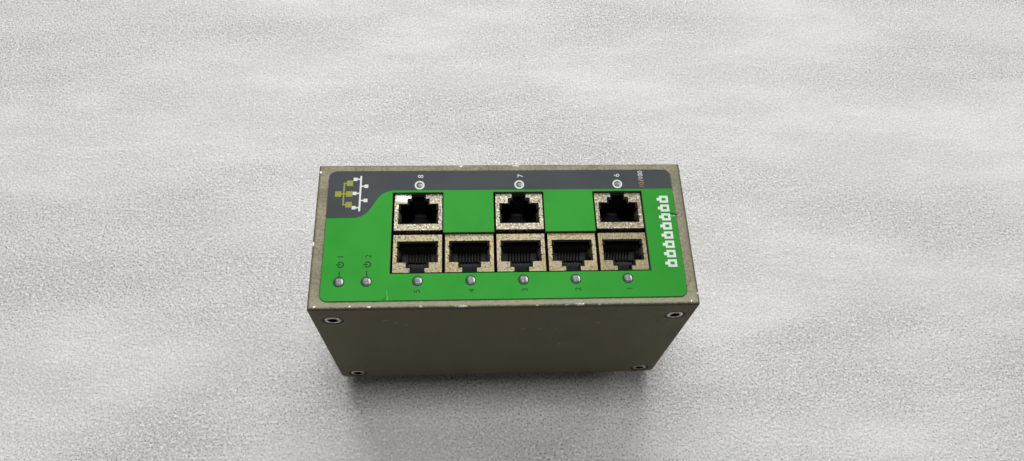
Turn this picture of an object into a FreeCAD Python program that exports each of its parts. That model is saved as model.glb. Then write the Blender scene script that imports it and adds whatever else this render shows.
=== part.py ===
import FreeCAD, Part
import math
import os

# Eight-port Ethernet switch for a 35 mm rail, lying on its back as on a bench.
# X runs along the long side, Y across it, and Z up, out of the front panel.
# All sizes are millimetres. Z is 0 at the underside of the rail clip.

Vector = FreeCAD.Vector
Z_UP = Vector(0, 0, 1)

# ---------------------------------------------------------------- driving dimensions
# Housing
body_w = 124.8            # X
body_h = 53.0             # Y
body_d = 75.0             # Z, front panel to rear plate
clip_h = 7.0              # height of the rail clip under the rear plate
cover_t = 1.5             # sheet of the front cover
chassis_t = 1.2           # sheet of the rear chassis
cover_bend_r = 1.0        # outside radius of the folds beside the front panel
cover_corner_r = 2.8      # rounded rear corners of the cover's long sides
chassis_bend_r = 2.0      # outside radius of the chassis folds
end_setback = 0.25        # end plates stand inside the front panel's edge
side_clearance = 0.1      # chassis to the inside of the cover, each side
flange_w = 12.0           # width of the flanges that take the side screws

# Small round forms are turned in flats, so that so many of them stay light
shown_sides = 12
hidden_sides = 8

# Fasteners
m3_r = 1.4                # shank radius, thread left out
m3_bore_r = 1.55
m3_clear_r = 1.6
m3_csk_r = 3.1            # 90 degree countersunk head
m3_hex_af = 2.0           # hexagon socket across flats
m3_hex_depth = 1.1
side_screw_len = 6.0
side_screw_x = (-55.9, 56.6)
side_screw_front = 10.0   # from the front panel to the upper screws
side_screw_rear = 4.8     # from the rear plate to the lower screws
nut_af = 6.0
nut_t = 1.5

# Front overlay
film_t = 0.3
film_w = 117.4
film_h = 47.6
film_shift = Vector(0, -0.1, 0)
film_corner_r = 2.5
tear_y = (5.3, 6.2, 6.8)  # tip, and both ends of the mouth
tear_d = 1.9
ink_t = 0.05              # grey field, screen-printed on the film
ink_low_y = 5.7           # field's lower edge at the left end
ink_high_y = 16.1         # field's lower edge above the ports
ink_knee_x = -46.35       # where the lower edge turns up
ink_slope_deg = 60.0
ink_bend_r = 6.5

# Jacks: two rows, contacts toward the middle, latches outward
port_pitch = 17.0
port_x = 5.55             # middle column
lower_y = -7.125          # centre of the lower row
upper_y = 8.18            # centre of the upper row
lower_columns = (2, 1, 0, -1, -2)     # ports 1 to 5
upper_columns = (2, 0, -2)            # ports 6 to 8
jack_w = 15.95
jack_h = 13.56
jack_d = 21.0
jack_recess = 0.76        # shield face below the panel's surface
shield_t = 0.3

# Panel opening
opening_x = 5.4
opening_cell = 17.1
opening_low_y = -14.7
opening_tongue_y = 0.0
opening_high_y = 15.25

# Shield window, from the contact side to the latch side
window_border = 2.3
window_w = 13.45
window_h = 7.75
step_w = 7.5
step_h = 2.0
notch_w = 4.85
finger_w = 2.4
finger_pitch = 2.8
finger_len = 7.0
finger_rise = 0.45
spring_tab_h = 2.9
spring_tab_relief = 0.4
spring_tab_bends = ((6.0, 3.2), (6.35, 4.6))  # distance from the middle, and depth
finger_gap = 0.4

# Insert and contacts
insert_d = 20.4
insert_gap = 0.05         # between the insert and its shield
carrier_d = 15.0          # face to the block that holds the contacts
cavity_w = 11.9
cavity_h = 6.9
cavity_d = 13.2
cavity_from_edge = 2.83   # contact side edge of the jack to the cavity
latch_step_w = 6.3
latch_step_h = 1.5
latch_slot_w = 4.1
latch_slot_floor = 0.6
pocket_relief = 0.3       # round the shield's side springs
pocket_d = 5.4
contact_pitch = 1.02
contact_count = 8
contact_w = 0.36
contact_t = 0.3
comb_slot_w = 0.52
comb_z = (9.0, 11.5)      # depths where the comb drops into the cavity
comb_drop = 2.05
wire_top = 1.6            # wires above the cavity's roof
wire_front = 2.75         # their fold behind the face
wire_end = (1.65, 12.4)   # free end below the roof, and behind the face

# Lamps
lamp_r = 1.45
lamp_cap_h = 0.9
lamp_tip_r = 0.87
lamp_len = 5.0
lamp_from_board = (1.83, 1.47)    # lower and upper row
lamp_shift_x = 0.3        # from the middle of its jack
lamp_proud = 0.4          # lower lamps, above the film
lead_t = 0.4
lead_spread = 1.3
lead_drop = 3.0           # from the lamp's base to the board's pad
lamp_hole_r = 1.62
film_lamp_r = 1.52
film_small_lamp_r = 1.1
power_lamp_x = (-53.08, -44.41)

# Boards
board_t = 1.6
board_front_gap = 2.5     # board edge to the front panel's surface
main_board_x = (-59.0, 59.0)
main_board_rear = 5.0     # from the rear plate's outside
upper_board_x = (-50.0, 56.0)
upper_board_rear = 7.0
post_x = (-45.0, 46.5)
post_z = (18.5, 55.0)
post_af = 5.0
post_bore_d = 6.0
board_screw_af = 5.5
board_screw_head_h = 1.8

# What the boards carry: places along X and Z, and sizes
chip_x = (-5.0, 15.0)
chip_z = (23.0, 43.0)
chip_t = 1.5
chip_standoff = 0.25
chip_lead_reach = 1.0
chip_lead_t = 0.4
transformer_w = 12.8
transformer_h = 6.0
transformer_z = (47.0, 57.0)
main_transformer_x = (-20.0, 5.45, 31.0)
upper_transformer_x = (-12.0, 22.0)
inductor_x = (-44.0, -32.0)
inductor_z = (30.0, 42.0)
inductor_h = 6.0
inductor_chamfer = 2.0
capacitor_x = (-33.0, -22.0)
capacitor_z = 18.0
capacitor_r = 4.0
capacitor_h = 12.0
crystal_x = (24.3, 30.7)  # centres of its round ends
crystal_z = 33.3
crystal_r = 2.3
crystal_h = 3.5
header_x = (-8.0, 18.0)
header_z = (13.5, 16.5)
header_h = 8.5
header_pins = 5
header_pin_w = 0.6
socket_z = (14.0, 16.0)
socket_h = 12.0

# Supply terminal
terminal_ways = 6
terminal_pitch = 5.08
terminal_z = 42.0
terminal_h = 9.4
terminal_d = 12.0
terminal_margin = 2.56    # from the outer pins to the housing's ends
terminal_wall = 1.0
terminal_gap = 0.3        # round it, in the end plate
terminal_key_w = 1.6      # slots in the socket's wall that key each way
terminal_key_d = 5.0
terminal_cavity_d = 9.75
terminal_pin = 1.0
terminal_pin_up = 2.2     # pin's centre above the cavity floor

# Earth screw
earth_y = 12.0
earth_z = 20.0
earth_head_r = 3.8
earth_head_h = 2.2
earth_washer_r = 4.2
earth_washer_t = 0.5
earth_shank_r = 1.8
earth_bore_r = 2.0
earth_len = 6.0
earth_nut_af = 7.0
earth_nut_t = 2.2

# Rail clip for a 35 mm by 1 mm rail lip
rail_half = 17.7
rail_gap = 1.5
hook_lip = 2.2
hook_h = 3.0
hook_t = 3.5
hook_split = 10.0
hook_lip_t = 0.8
gusset_t = 1.5
merge = 0.5               # depth by which joined forms run into each other
clip_x = (-30.0, 44.0)
clip_w = 38.0
latch_w = 20.0
latch_x = (18.0, 58.0)
latch_z = (0.5, 4.2)
latch_play = 0.3
tongue_z = (1.85, 2.75)
tongue_reach = 1.1
tongue_x = (22.0, 40.0)
groove_play = 0.25
guide_wall = 1.8
guide_hollow_w = 3.6
handle_l = 9.0
handle_step = 3.0
eye_w = 7.0
pocket_x = (24.0, 43.0)
pocket_w = 10.0
stop_post_x = (39.0, 41.5)
spring_bends = 8
spring_t = 0.4
spring_seat = 0.05        # play at each end
spring_half_w = 4.0
spring_z = (1.5, 3.3)
clip_base_t = clip_h - hook_h - rail_gap
clip_screw_y = 13.0
clip_screw_len = 5.0

# ---------------------------------------------------------------- derived places
rear_z = clip_h
front_z = clip_h + body_d
inner_front_z = front_z - cover_t
film_top_z = front_z + film_t
face_z = front_z - jack_recess
side_y = body_h / 2
inner_side_y = side_y - cover_t
chassis_y = inner_side_y - side_clearance
end_x = body_w / 2 - end_setback
inner_end_x = end_x - chassis_t
main_board_y = lower_y - jack_h / 2
upper_board_y = upper_y + jack_h / 2
board_front_z = front_z - board_front_gap
lower_lamp_y = main_board_y - board_t - lamp_from_board[0]
upper_lamp_y = upper_board_y + board_t + lamp_from_board[1]
side_screw_zs = (rear_z + side_screw_rear, front_z - side_screw_front)
jack_places = [(port_x + c * port_pitch, lower_y, False) for c in lower_columns]
jack_places += [(port_x + c * port_pitch, upper_y, True) for c in upper_columns]

# The earth screw stands out of one end, so the whole part is moved to centre its box on the origin.
earth_out = earth_washer_t + earth_head_h - end_setback
row_shift = Vector(earth_out / 2, 0, 0)


# ---------------------------------------------------------------- shared forms
def box(x, y, z):
    """Box between pairs of X, Y and Z values."""
    size = [abs(pair[1] - pair[0]) for pair in (x, y, z)]
    return Part.makeBox(size[0], size[1], size[2], Vector(min(x), min(y), min(z)))


def ring_corners(radius, sides, z):
    """Corners of a regular polygon across the Z axis."""
    corners = []
    for i in range(sides):
        angle = 2 * math.pi * (i + 0.5) / sides
        corners.append(Vector(radius * math.cos(angle), radius * math.sin(angle), z))
    return corners


def flat_face(corners):
    return Part.Face(Part.makePolygon(corners + corners[:1]))


def turned(rings, start, axis, sides=hidden_sides):
    """Turned form in flats, from rings of (radius, distance along the axis) joined by flat faces."""
    levels = [ring_corners(radius, sides, z) for radius, z in rings]
    faces = [flat_face(levels[0]), flat_face(levels[-1])]
    for low, high in zip(levels, levels[1:]):
        for i in range(sides):
            j = (i + 1) % sides
            faces.append(flat_face([low[i], low[j], high[j], high[i]]))
    form = Part.Solid(Part.Shell(faces)).removeSplitter()
    return aimed(form, start, axis)


def bar(radius, start, axis, length, sides=hidden_sides):
    """Round bar or hole, in flats."""
    return turned([(radius, 0), (radius, length)], start, axis, sides)


def in_xy(level):
    return lambda a, b: Vector(a, b, level)


def in_xz(level):
    return lambda a, b: Vector(a, level, b)


def in_yz(level):
    return lambda a, b: Vector(level, a, b)


def outline(corners, plane):
    """Closed wire through corners (a, b, radius), each rounded by its own radius."""
    edges = []
    ends = []
    count = len(corners)
    for i in range(count):
        a, b, radius = corners[i]
        here = plane(a, b)
        to_prev = plane(*corners[i - 1][:2]).sub(here).normalize()
        to_next = plane(*corners[(i + 1) % count][:2]).sub(here).normalize()
        if radius == 0:
            ends.append((here, here))
            continue
        half = to_prev.getAngle(to_next) / 2
        reach = radius / math.tan(half)
        start = here + to_prev * reach
        end = here + to_next * reach
        middle = (to_prev + to_next).normalize()
        mid = here + middle * (radius / math.sin(half) - radius)
        edges.append(Part.Arc(start, mid, end).toShape())
        ends.append((start, end))
    for i in range(count):
        leave = ends[i][1]
        arrive = ends[(i + 1) % count][0]
        if leave.distanceToPoint(arrive) > 1e-6:
            edges.append(Part.makeLine(leave, arrive))
    return Part.Wire(Part.__sortEdges__(edges))


def plate(corners, plane, thickness):
    """Solid of an outline, given thickness along a vector."""
    return Part.Face(outline(corners, plane)).extrude(thickness)


def rectangle(a, b, radius=0.0):
    """Corners of a rectangle between two pairs, all with one radius."""
    return [(a[0], b[0], radius), (a[1], b[0], radius), (a[1], b[1], radius), (a[0], b[1], radius)]


def bent_strip(path, thickness, plane, width):
    """Strip folded along a path of (a, b) points, with mitred folds, given width along a vector."""
    half = thickness / 2
    left, right = [], []
    for i, (a, b) in enumerate(path):
        into = path[max(i, 1)][0] - path[max(i, 1) - 1][0], path[max(i, 1)][1] - path[max(i, 1) - 1][1]
        last = min(i, len(path) - 2)
        out = path[last + 1][0] - path[last][0], path[last + 1][1] - path[last][1]
        turn_in = math.atan2(into[1], into[0])
        turn_out = math.atan2(out[1], out[0])
        normal = (turn_in + turn_out) / 2 + math.pi / 2
        if abs(turn_out - turn_in) > math.pi:
            normal += math.pi
        reach = half / math.cos((turn_out - turn_in) / 2)
        offset = abs(reach) * math.cos(normal), abs(reach) * math.sin(normal)
        left.append((a + offset[0], b + offset[1], 0))
        right.append((a - offset[0], b - offset[1], 0))
    return plate(left + right[::-1], plane, width)


def hexagon(across_flats, start, axis, length):
    """Hexagonal bar along an axis."""
    return bar(across_flats / math.sqrt(3), start, axis, length, 6)


def aimed(shape, start, axis):
    """Shape built up the Z axis, turned along another axis and moved to a start."""
    shape.Placement = FreeCAD.Placement(start, FreeCAD.Rotation(Z_UP, axis))
    return shape


def fused(shapes):
    """One shape of several that meet, with no leftover edges."""
    return shapes[0].fuse(shapes[1:]).removeSplitter()


def save(name, shape):
    """Write one node in the part's own frame."""
    placed = shape.copy()
    placed.translate(row_shift)
    placed.exportStep(f"parts/{name}.step")


# ---------------------------------------------------------------- fasteners
def countersunk_screw(top, axis, length):
    """Hexagon-socket countersunk M3 screw. Its flat head is at top, and axis points down its shank."""
    head_h = m3_csk_r - m3_clear_r
    rings = [(m3_csk_r, 0), (m3_clear_r, head_h), (m3_r, head_h), (m3_r, length)]
    return turned(rings, top, axis, shown_sides).cut(hexagon(m3_hex_af, top, axis, m3_hex_depth))


def countersink(top, axis, depth):
    """Countersunk hole for the same screw, with a clearance hole below it."""
    head_h = m3_csk_r - m3_clear_r
    return turned([(m3_csk_r, 0), (m3_clear_r, head_h), (m3_clear_r, depth)], top, axis, shown_sides)


def button_screw(seat, axis, head_r, head_h, shank_r, length):
    """Button-head screw. Its head stands on seat, and axis points down its shank."""
    slope = 0.5 * head_h
    rings = [(head_r - slope, -head_h), (head_r, slope - head_h), (head_r, 0)]
    rings += [(shank_r, 0), (shank_r, length)]
    socket = hexagon(0.8 * head_r, seat - axis * head_h, axis, 0.6 * head_h)
    return turned(rings, seat, axis, shown_sides).cut(socket)


def side_screw_places():
    """Outer centre and inward direction of each screw in the long sides."""
    places = []
    for side in (-1, 1):
        for x in side_screw_x:
            for z in side_screw_zs:
                places.append((Vector(x, side * side_y, z), Vector(0, -side, 0)))
    return places


def side_screws():
    screws = [countersunk_screw(top, axis, side_screw_len) for top, axis in side_screw_places()]
    return Part.makeCompound(screws)


def clinch_nuts():
    """Nuts pressed into the inside of the chassis flanges."""
    nuts = []
    for top, axis in side_screw_places():
        seat = top + axis * (side_y - chassis_y + chassis_t)
        nut = hexagon(nut_af, seat, axis, nut_t)
        nuts.append(nut.cut(bar(m3_bore_r, seat, axis, nut_t)))
    return Part.makeCompound(nuts)


# ---------------------------------------------------------------- housing
def port_opening(z, height):
    """Opening for both rows of jacks, with two tongues between the upper three."""
    cells = []
    for column in upper_columns:
        middle = opening_x + column * port_pitch
        cells.append((middle + opening_cell / 2, middle - opening_cell / 2))
    corners = [(cells[-1][1], opening_low_y), (cells[0][0], opening_low_y)]
    for i, (right, left) in enumerate(cells):
        if i > 0:
            corners.append((right, opening_tongue_y))
        corners.append((right, opening_high_y))
        corners.append((left, opening_high_y))
        if i < len(cells) - 1:
            corners.append((left, opening_tongue_y))
    return plate([(x, y, 0) for x, y in corners], in_xy(z), Z_UP * height)


def lamp_places():
    """Name, X, Y and whether it is in the upper row, for each lamp."""
    places = []
    for number, (x, y, upper) in enumerate(jack_places, start=1):
        lamp_y = upper_lamp_y if upper else lower_lamp_y
        places.append((f"lamp_port_{number}", x + lamp_shift_x, lamp_y, upper))
    for number, x in enumerate(power_lamp_x, start=1):
        places.append((f"lamp_power_{number}", x, lower_lamp_y, False))
    return places


def front_cover():
    """Front panel and both long sides, folded from one sheet."""
    along = Vector(body_w, 0, 0)
    start = in_yz(-body_w / 2)
    outside = [(-side_y, rear_z, 0), (side_y, rear_z, 0), (side_y, front_z, cover_bend_r),
               (-side_y, front_z, cover_bend_r)]
    inside = [(-inner_side_y, rear_z - 1, 0), (inner_side_y, rear_z - 1, 0),
              (inner_side_y, inner_front_z, 0), (-inner_side_y, inner_front_z, 0)]
    cover = plate(outside, start, along).cut(plate(inside, start, along))
    side_view = [(-body_w / 2, rear_z, cover_corner_r), (body_w / 2, rear_z, cover_corner_r),
                 (body_w / 2, front_z + 1, 0), (-body_w / 2, front_z + 1, 0)]
    cover = cover.common(plate(side_view, in_xz(-side_y), Vector(0, body_h, 0)))
    cuts = [port_opening(inner_front_z - 1, cover_t + 2)]
    for _, x, y, _ in lamp_places():
        cuts.append(bar(lamp_hole_r, Vector(x, y, inner_front_z - 1), Z_UP, cover_t + 2))
    for top, axis in side_screw_places():
        cuts.append(countersink(top, axis, 2 * cover_t))
    return cover.cut(cuts)


def rear_chassis():
    """Rear plate and both end plates, folded from one sheet, with flanges behind the long sides."""
    across = Vector(0, 2 * chassis_y, 0)
    top = inner_front_z - side_clearance
    outside = [(-end_x, rear_z, chassis_bend_r), (end_x, rear_z, chassis_bend_r),
               (end_x, top, 0), (-end_x, top, 0)]
    inside = [(-inner_end_x, rear_z + chassis_t, 0), (inner_end_x, rear_z + chassis_t, 0),
              (inner_end_x, top + 1, 0), (-inner_end_x, top + 1, 0)]
    strip = plate(outside, in_xz(-chassis_y), across).cut(plate(inside, in_xz(-chassis_y), across))
    fold_z = rear_z + chassis_bend_r
    tray_h = Z_UP * (top - fold_z)
    ring = plate(rectangle((-end_x, end_x), (-chassis_y, chassis_y), chassis_bend_r), in_xy(fold_z), tray_h)
    inner_y = chassis_y - chassis_t
    hollow = box((-inner_end_x, inner_end_x), (-inner_y, inner_y), (fold_z, top))
    clear_x = end_x - flange_w
    middle = box((-clear_x, clear_x), (-body_h, body_h), (fold_z, top))
    trays = ring.cut(hollow).cut(middle)
    edge = chassis_y - chassis_bend_r
    for side in (-1, 1):
        strip = strip.cut(box((-body_w, body_w), (side * edge, side * body_h), (fold_z, body_d * 2)))
    chassis = fused([strip] + trays.Solids)
    cuts = []
    for screw_top, axis in side_screw_places():
        cuts.append(bar(m3_clear_r, screw_top + axis, axis, 4 * chassis_t))
    for y in (-clip_screw_y, clip_screw_y):
        cuts.append(bar(m3_bore_r, Vector(0, y, rear_z - 1), Z_UP, chassis_t + 2))
    cuts.append(bar(earth_bore_r, Vector(-end_x - 1, earth_y, earth_z), Vector(1, 0, 0), chassis_t + 2))
    y, z = terminal_outline()
    gap = terminal_gap
    cuts.append(box((-end_x - 1, -inner_end_x + 1), (y[0] - gap, y[1] + gap), (z[0] - gap, z[1] + gap)))
    return chassis.cut(cuts)


def film_outline():
    """Corners of the overlay's edge."""
    x = (film_shift.x - film_w / 2, film_shift.x + film_w / 2)
    y = (film_shift.y - film_h / 2, film_shift.y + film_h / 2)
    return x, y


def ink_field():
    """Grey printed field: a band along the top that drops in an S-curve at the left end."""
    x, y = film_outline()
    rise_x = (ink_high_y - ink_low_y) / math.tan(math.radians(ink_slope_deg))
    corners = [(x[0], ink_low_y, 0), (ink_knee_x, ink_low_y, ink_bend_r),
               (ink_knee_x + rise_x, ink_high_y, ink_bend_r), (x[1], ink_high_y, 0),
               (x[1], y[1], film_corner_r), (x[0], y[1], film_corner_r)]
    field = plate(corners, in_xy(film_top_z), Z_UP * ink_t)
    holes = [film_hole(x, y, upper) for _, x, y, upper in lamp_places() if upper]
    return field.cut(holes)


def film_hole(x, y, upper):
    """Hole over a lamp. In the upper row only the tip of the lamp looks through."""
    radius = film_small_lamp_r if upper else film_lamp_r
    return bar(radius, Vector(x, y, front_z - 1), Z_UP, film_t + 2, shown_sides)


def front_overlay():
    """Printed film glued to the front panel, with a small tear in its right edge."""
    x, y = film_outline()
    film = plate(rectangle(x, y, film_corner_r), in_xy(front_z), Z_UP * film_t)
    tear = [(x[1] + 1, tear_y[2], 0), (x[1] - tear_d, tear_y[0], 0), (x[1] + 1, tear_y[1], 0)]
    cuts = [port_opening(front_z - 1, film_t + 2), plate(tear, in_xy(front_z - 1), Z_UP * (film_t + 2))]
    cuts += [film_hole(x, y, upper) for _, x, y, upper in lamp_places()]
    return film.cut(cuts)


# ---------------------------------------------------------------- jacks
# A jack is built with its face at Z = 0, its contacts toward +Y and its latch toward -Y.
def window_corners():
    """Half of the window as (half width, Y) pairs, from the contact side to the latch side."""
    top = jack_h / 2 - window_border
    main = top - window_h
    step = main - step_h
    return [(window_w / 2, top), (window_w / 2, main), (step_w / 2, main), (step_w / 2, step),
            (notch_w / 2, step), (notch_w / 2, -jack_h / 2 - 1)]


def mirrored(half):
    """Closed outline from half of it, mirrored in X = 0."""
    return [(x, y, 0) for x, y in half] + [(-x, y, 0) for x, y in half[::-1]]


def spring_tab_y():
    return jack_h / 2 - window_border - window_h / 2 + 0.15


def jack_shield():
    """Folded tinned shield, open toward the board, with three spring fingers and two side springs."""
    half_w = jack_w / 2
    half_h = jack_h / 2
    shell = box((-half_w, half_w), (-half_h, half_h), (-jack_d, 0))
    hollow = box((-half_w + shield_t, half_w - shield_t), (-half_h - 1, half_h - shield_t),
                 (-jack_d + shield_t, -shield_t))
    window = plate(mirrored(window_corners()), in_xy(-1), Z_UP * 2)
    cuts = [hollow, window]
    tab_y = spring_tab_y()
    for side in (-1, 1):
        y = tab_y + side * (spring_tab_h + spring_tab_relief) / 2
        reach = window_w / 2 + 0.3
        cuts.append(box((-reach, reach), (y - spring_tab_relief / 2, y + spring_tab_relief / 2), (-1, 1)))
    span = finger_pitch + finger_w / 2 + finger_gap
    finger_z = (-finger_len - finger_gap, -shield_t)
    cuts.append(box((-span, span), (half_h - 2 * shield_t, half_h + 1), finger_z))
    pieces = [shell.cut(cuts)]
    mid = half_h - shield_t / 2
    for i in (-1, 0, 1):
        path = [(mid, -shield_t / 2), (mid + finger_rise, -finger_len / 2), (mid - 0.1, -finger_len)]
        x = i * finger_pitch - finger_w / 2
        pieces.append(bent_strip(path, shield_t * 0.8, in_yz(x), Vector(finger_w, 0, 0)))
    for side in (-1, 1):
        edge = side * (window_w / 2 + 0.05)
        path = [(edge, -shield_t / 2)] + [(side * x, -depth) for x, depth in spring_tab_bends]
        low = tab_y - spring_tab_h / 2
        pieces.append(bent_strip(path, shield_t * 0.8, in_xz(low), Vector(0, spring_tab_h, 0)))
    return fused(pieces)


def jack_insert():
    """Black moulded insert: plug cavity with latch slot, side pockets, and a comb for the contacts."""
    half_w = jack_w / 2 - shield_t - insert_gap
    top = jack_h / 2 - shield_t - insert_gap
    front = -shield_t - insert_gap
    block = box((-half_w, half_w), (-jack_h / 2 + 0.1, top), (-insert_d, front))
    roof = jack_h / 2 - cavity_from_edge
    floor = roof - cavity_h
    step = floor - latch_step_h
    comb = [(roof, front + 1, 0), (roof, -comb_z[0], 0), (roof - comb_drop, -comb_z[1], 0),
            (roof - comb_drop, -cavity_d, 0), (floor, -cavity_d, 0), (floor, front + 1, 0)]
    half_cavity = cavity_w / 2
    cuts = [plate(comb, in_yz(-half_cavity), Vector(cavity_w, 0, 0))]
    cuts.append(box((-latch_step_w / 2, latch_step_w / 2), (step, floor + 1), (-cavity_d, front + 1)))
    slot_y = (-jack_h / 2 + latch_slot_floor, step + 1)
    cuts.append(box((-latch_slot_w / 2, latch_slot_w / 2), slot_y, (-cavity_d, front + 1)))
    lip = wire_front - 0.55
    recess_y = roof + wire_top - 0.55
    wires_w = contact_pitch * contact_count + comb_slot_w
    cuts.append(box((-wires_w / 2, wires_w / 2), (recess_y, top + 1), (-carrier_d, -lip)))
    for x in contact_xs():
        slot = (x - comb_slot_w / 2, x + comb_slot_w / 2)
        cuts.append(box(slot, (roof - 3, recess_y + 0.1), (-cavity_d, -lip)))
    tab_y = spring_tab_y()
    reach = spring_tab_h / 2 + pocket_relief
    for side in (-1, 1):
        pocket_x_pair = (side * (half_cavity - 1), side * (window_w / 2 + pocket_relief))
        cuts.append(box(pocket_x_pair, (tab_y - reach, tab_y + reach), (-pocket_d, front + 1)))
    return block.cut(cuts).removeSplitter()


def contact_xs():
    middle = (contact_count - 1) / 2
    return [(i - middle) * contact_pitch for i in range(contact_count)]


def jack_contacts():
    """Eight spring wires: out of the carrier, forward over the insert, and folded down into the cavity."""
    roof = jack_h / 2 - cavity_from_edge
    run_y = roof + wire_top
    path = [(run_y, -carrier_d), (run_y, -wire_front), (roof + wire_top - 0.95, -wire_front),
            (roof - wire_end[0], -wire_end[1])]
    wires = []
    for x in contact_xs():
        wires.append(bent_strip(path, contact_t, in_yz(x - contact_w / 2), Vector(contact_w, 0, 0)))
    return Part.makeCompound(wires)


def place_jack_piece(shape, place):
    """Move a jack's piece to its port. Ports of the upper row are turned half round."""
    x, y, upper = place
    turn = 180 if upper else 0
    placed = shape.copy()
    placed.Placement = FreeCAD.Placement(Vector(x, y, face_z), FreeCAD.Rotation(Z_UP, turn))
    return placed


# ---------------------------------------------------------------- lamps
def lamp(to_board):
    """Round lamp with its tip at Z = 0, and two leads bent toward the board, to_board away at +Y."""
    down = Vector(0, 0, -1)
    rings = [(lamp_tip_r, 0), (lamp_r, lamp_cap_h), (lamp_r, lamp_len)]
    pieces = [turned(rings, Vector(0, 0, 0), down, shown_sides)]
    for side in (-1, 1):
        path = [(to_board - lead_t / 2, -lamp_len - lead_drop), (0, 0.2 - lamp_len)]
        x = (side * lead_spread - lead_t) / 2
        pieces.append(bent_strip(path, lead_t, in_yz(x), Vector(lead_t, 0, 0)))
    return fused(pieces)


def place_lamp(shape, x, y, upper):
    """Lower lamps stand proud of the film. Upper lamps reach only its surface."""
    turn = 180 if upper else 0
    tip = film_top_z + (ink_t if upper else lamp_proud)
    placed = shape.copy()
    placed.Placement = FreeCAD.Placement(Vector(x, y, tip), FreeCAD.Rotation(Z_UP, turn))
    return placed


# ---------------------------------------------------------------- boards and what they carry
def post_places():
    return [(x, z) for x in post_x for z in post_z]


def circuit_board(x, y, rear):
    """Bare board with a hole for each post."""
    board = box(x, y, (rear_z + rear, board_front_z))
    low = min(y) - 1
    holes = [bar(m3_clear_r, Vector(px, low, pz), Vector(0, 1, 0), board_t + 2) for px, pz in post_places()]
    return board.cut(holes)


def board_standoffs():
    """Hexagonal standoffs pressed into the cover's lower long side, under the main board."""
    up = Vector(0, 1, 0)
    length = main_board_y - board_t + inner_side_y
    posts = []
    for x, z in post_places():
        post = hexagon(post_af, Vector(x, -inner_side_y, z), up, length)
        bore = bar(m3_bore_r, Vector(x, -inner_side_y + length - post_bore_d, z), up, post_bore_d)
        posts.append(post.cut(bore))
    return Part.makeCompound(posts)


def board_spacers():
    """Spacers between the boards, each with a stud through the main board."""
    up = Vector(0, 1, 0)
    length = upper_board_y - main_board_y
    spacers = []
    for x, z in post_places():
        column = hexagon(post_af, Vector(x, main_board_y, z), up, length)
        stud_len = board_t + post_bore_d - 1
        stud = bar(m3_r, Vector(x, main_board_y - stud_len, z), up, stud_len)
        bore = bar(m3_bore_r, Vector(x, upper_board_y - post_bore_d, z), up, post_bore_d)
        spacers.append(fused([column, stud]).cut(bore))
    return Part.makeCompound(spacers)


def board_screws():
    """Hexagon-head screws that hold the upper board on its spacers."""
    down = Vector(0, -1, 0)
    top = upper_board_y + board_t
    screws = []
    for x, z in post_places():
        head = hexagon(board_screw_af, Vector(x, top + board_screw_head_h, z), down, board_screw_head_h)
        shank = bar(m3_r, Vector(x, top, z), down, board_t + post_bore_d - 1)
        screws.append(fused([head, shank]))
    return Part.makeCompound(screws)


def terminal_outline():
    """Y and Z limits of the supply terminal, on the main board at the left end."""
    half = (terminal_ways - 1) * terminal_pitch / 2 + terminal_margin + terminal_wall
    return (main_board_y, main_board_y + terminal_h), (terminal_z - half, terminal_z + half)


def terminal_pins():
    """Square pins, bent down to the board."""
    y = main_board_y + terminal_wall + terminal_pin_up
    back = -end_x + terminal_d + 2
    pins = []
    for i in range(terminal_ways):
        z = terminal_z + (i - (terminal_ways - 1) / 2) * terminal_pitch
        path = [(-end_x + 1, y), (back, y), (back, main_board_y)]
        pins.append(bent_strip(path, terminal_pin, in_xy(z - terminal_pin / 2), Z_UP * terminal_pin))
    return Part.makeCompound(pins)


def terminal_header():
    """Moulded socket for a plug-in terminal block, open toward the left end."""
    y, z = terminal_outline()
    block = box((-end_x, -end_x + terminal_d), y, z)
    inner_y = (y[0] + terminal_wall, y[1] - terminal_wall)
    inner_z = (z[0] + terminal_wall, z[1] - terminal_wall)
    cuts = [box((-end_x - 1, -end_x + terminal_cavity_d), inner_y, inner_z)]
    for i in range(terminal_ways):
        middle = terminal_z + (i - (terminal_ways - 1) / 2) * terminal_pitch
        key = (middle - terminal_key_w / 2, middle + terminal_key_w / 2)
        cuts.append(box((-end_x - 1, -end_x + terminal_key_d), (y[1] - 2 * terminal_wall, y[1] + 1), key))
    return block.cut(cuts).cut(terminal_pins().Solids)


def switch_chip():
    """Flat package on four rows of leads, drawn as one skirt."""
    y = main_board_y + chip_standoff
    reach = chip_lead_reach
    body = box(chip_x, (y, y + chip_t), chip_z)
    skirt_x = (chip_x[0] - reach, chip_x[1] + reach)
    skirt_z = (chip_z[0] - reach, chip_z[1] + reach)
    skirt = box(skirt_x, (main_board_y, y + chip_t / 2), skirt_z)
    inner_x = (skirt_x[0] + chip_lead_t, skirt_x[1] - chip_lead_t)
    inner_z = (skirt_z[0] + chip_lead_t, skirt_z[1] - chip_lead_t)
    return fused([body, skirt.cut(box(inner_x, (main_board_y - 1, y), inner_z))])


def port_transformers():
    """Isolating transformers behind the jacks, some on each board."""
    half = transformer_w / 2
    main_y = (main_board_y, main_board_y + transformer_h)
    upper_y_pair = (upper_board_y - transformer_h, upper_board_y)
    modules = [box((x - half, x + half), main_y, transformer_z) for x in main_transformer_x]
    modules += [box((x - half, x + half), upper_y_pair, transformer_z) for x in upper_transformer_x]
    return Part.makeCompound(modules)


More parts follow.
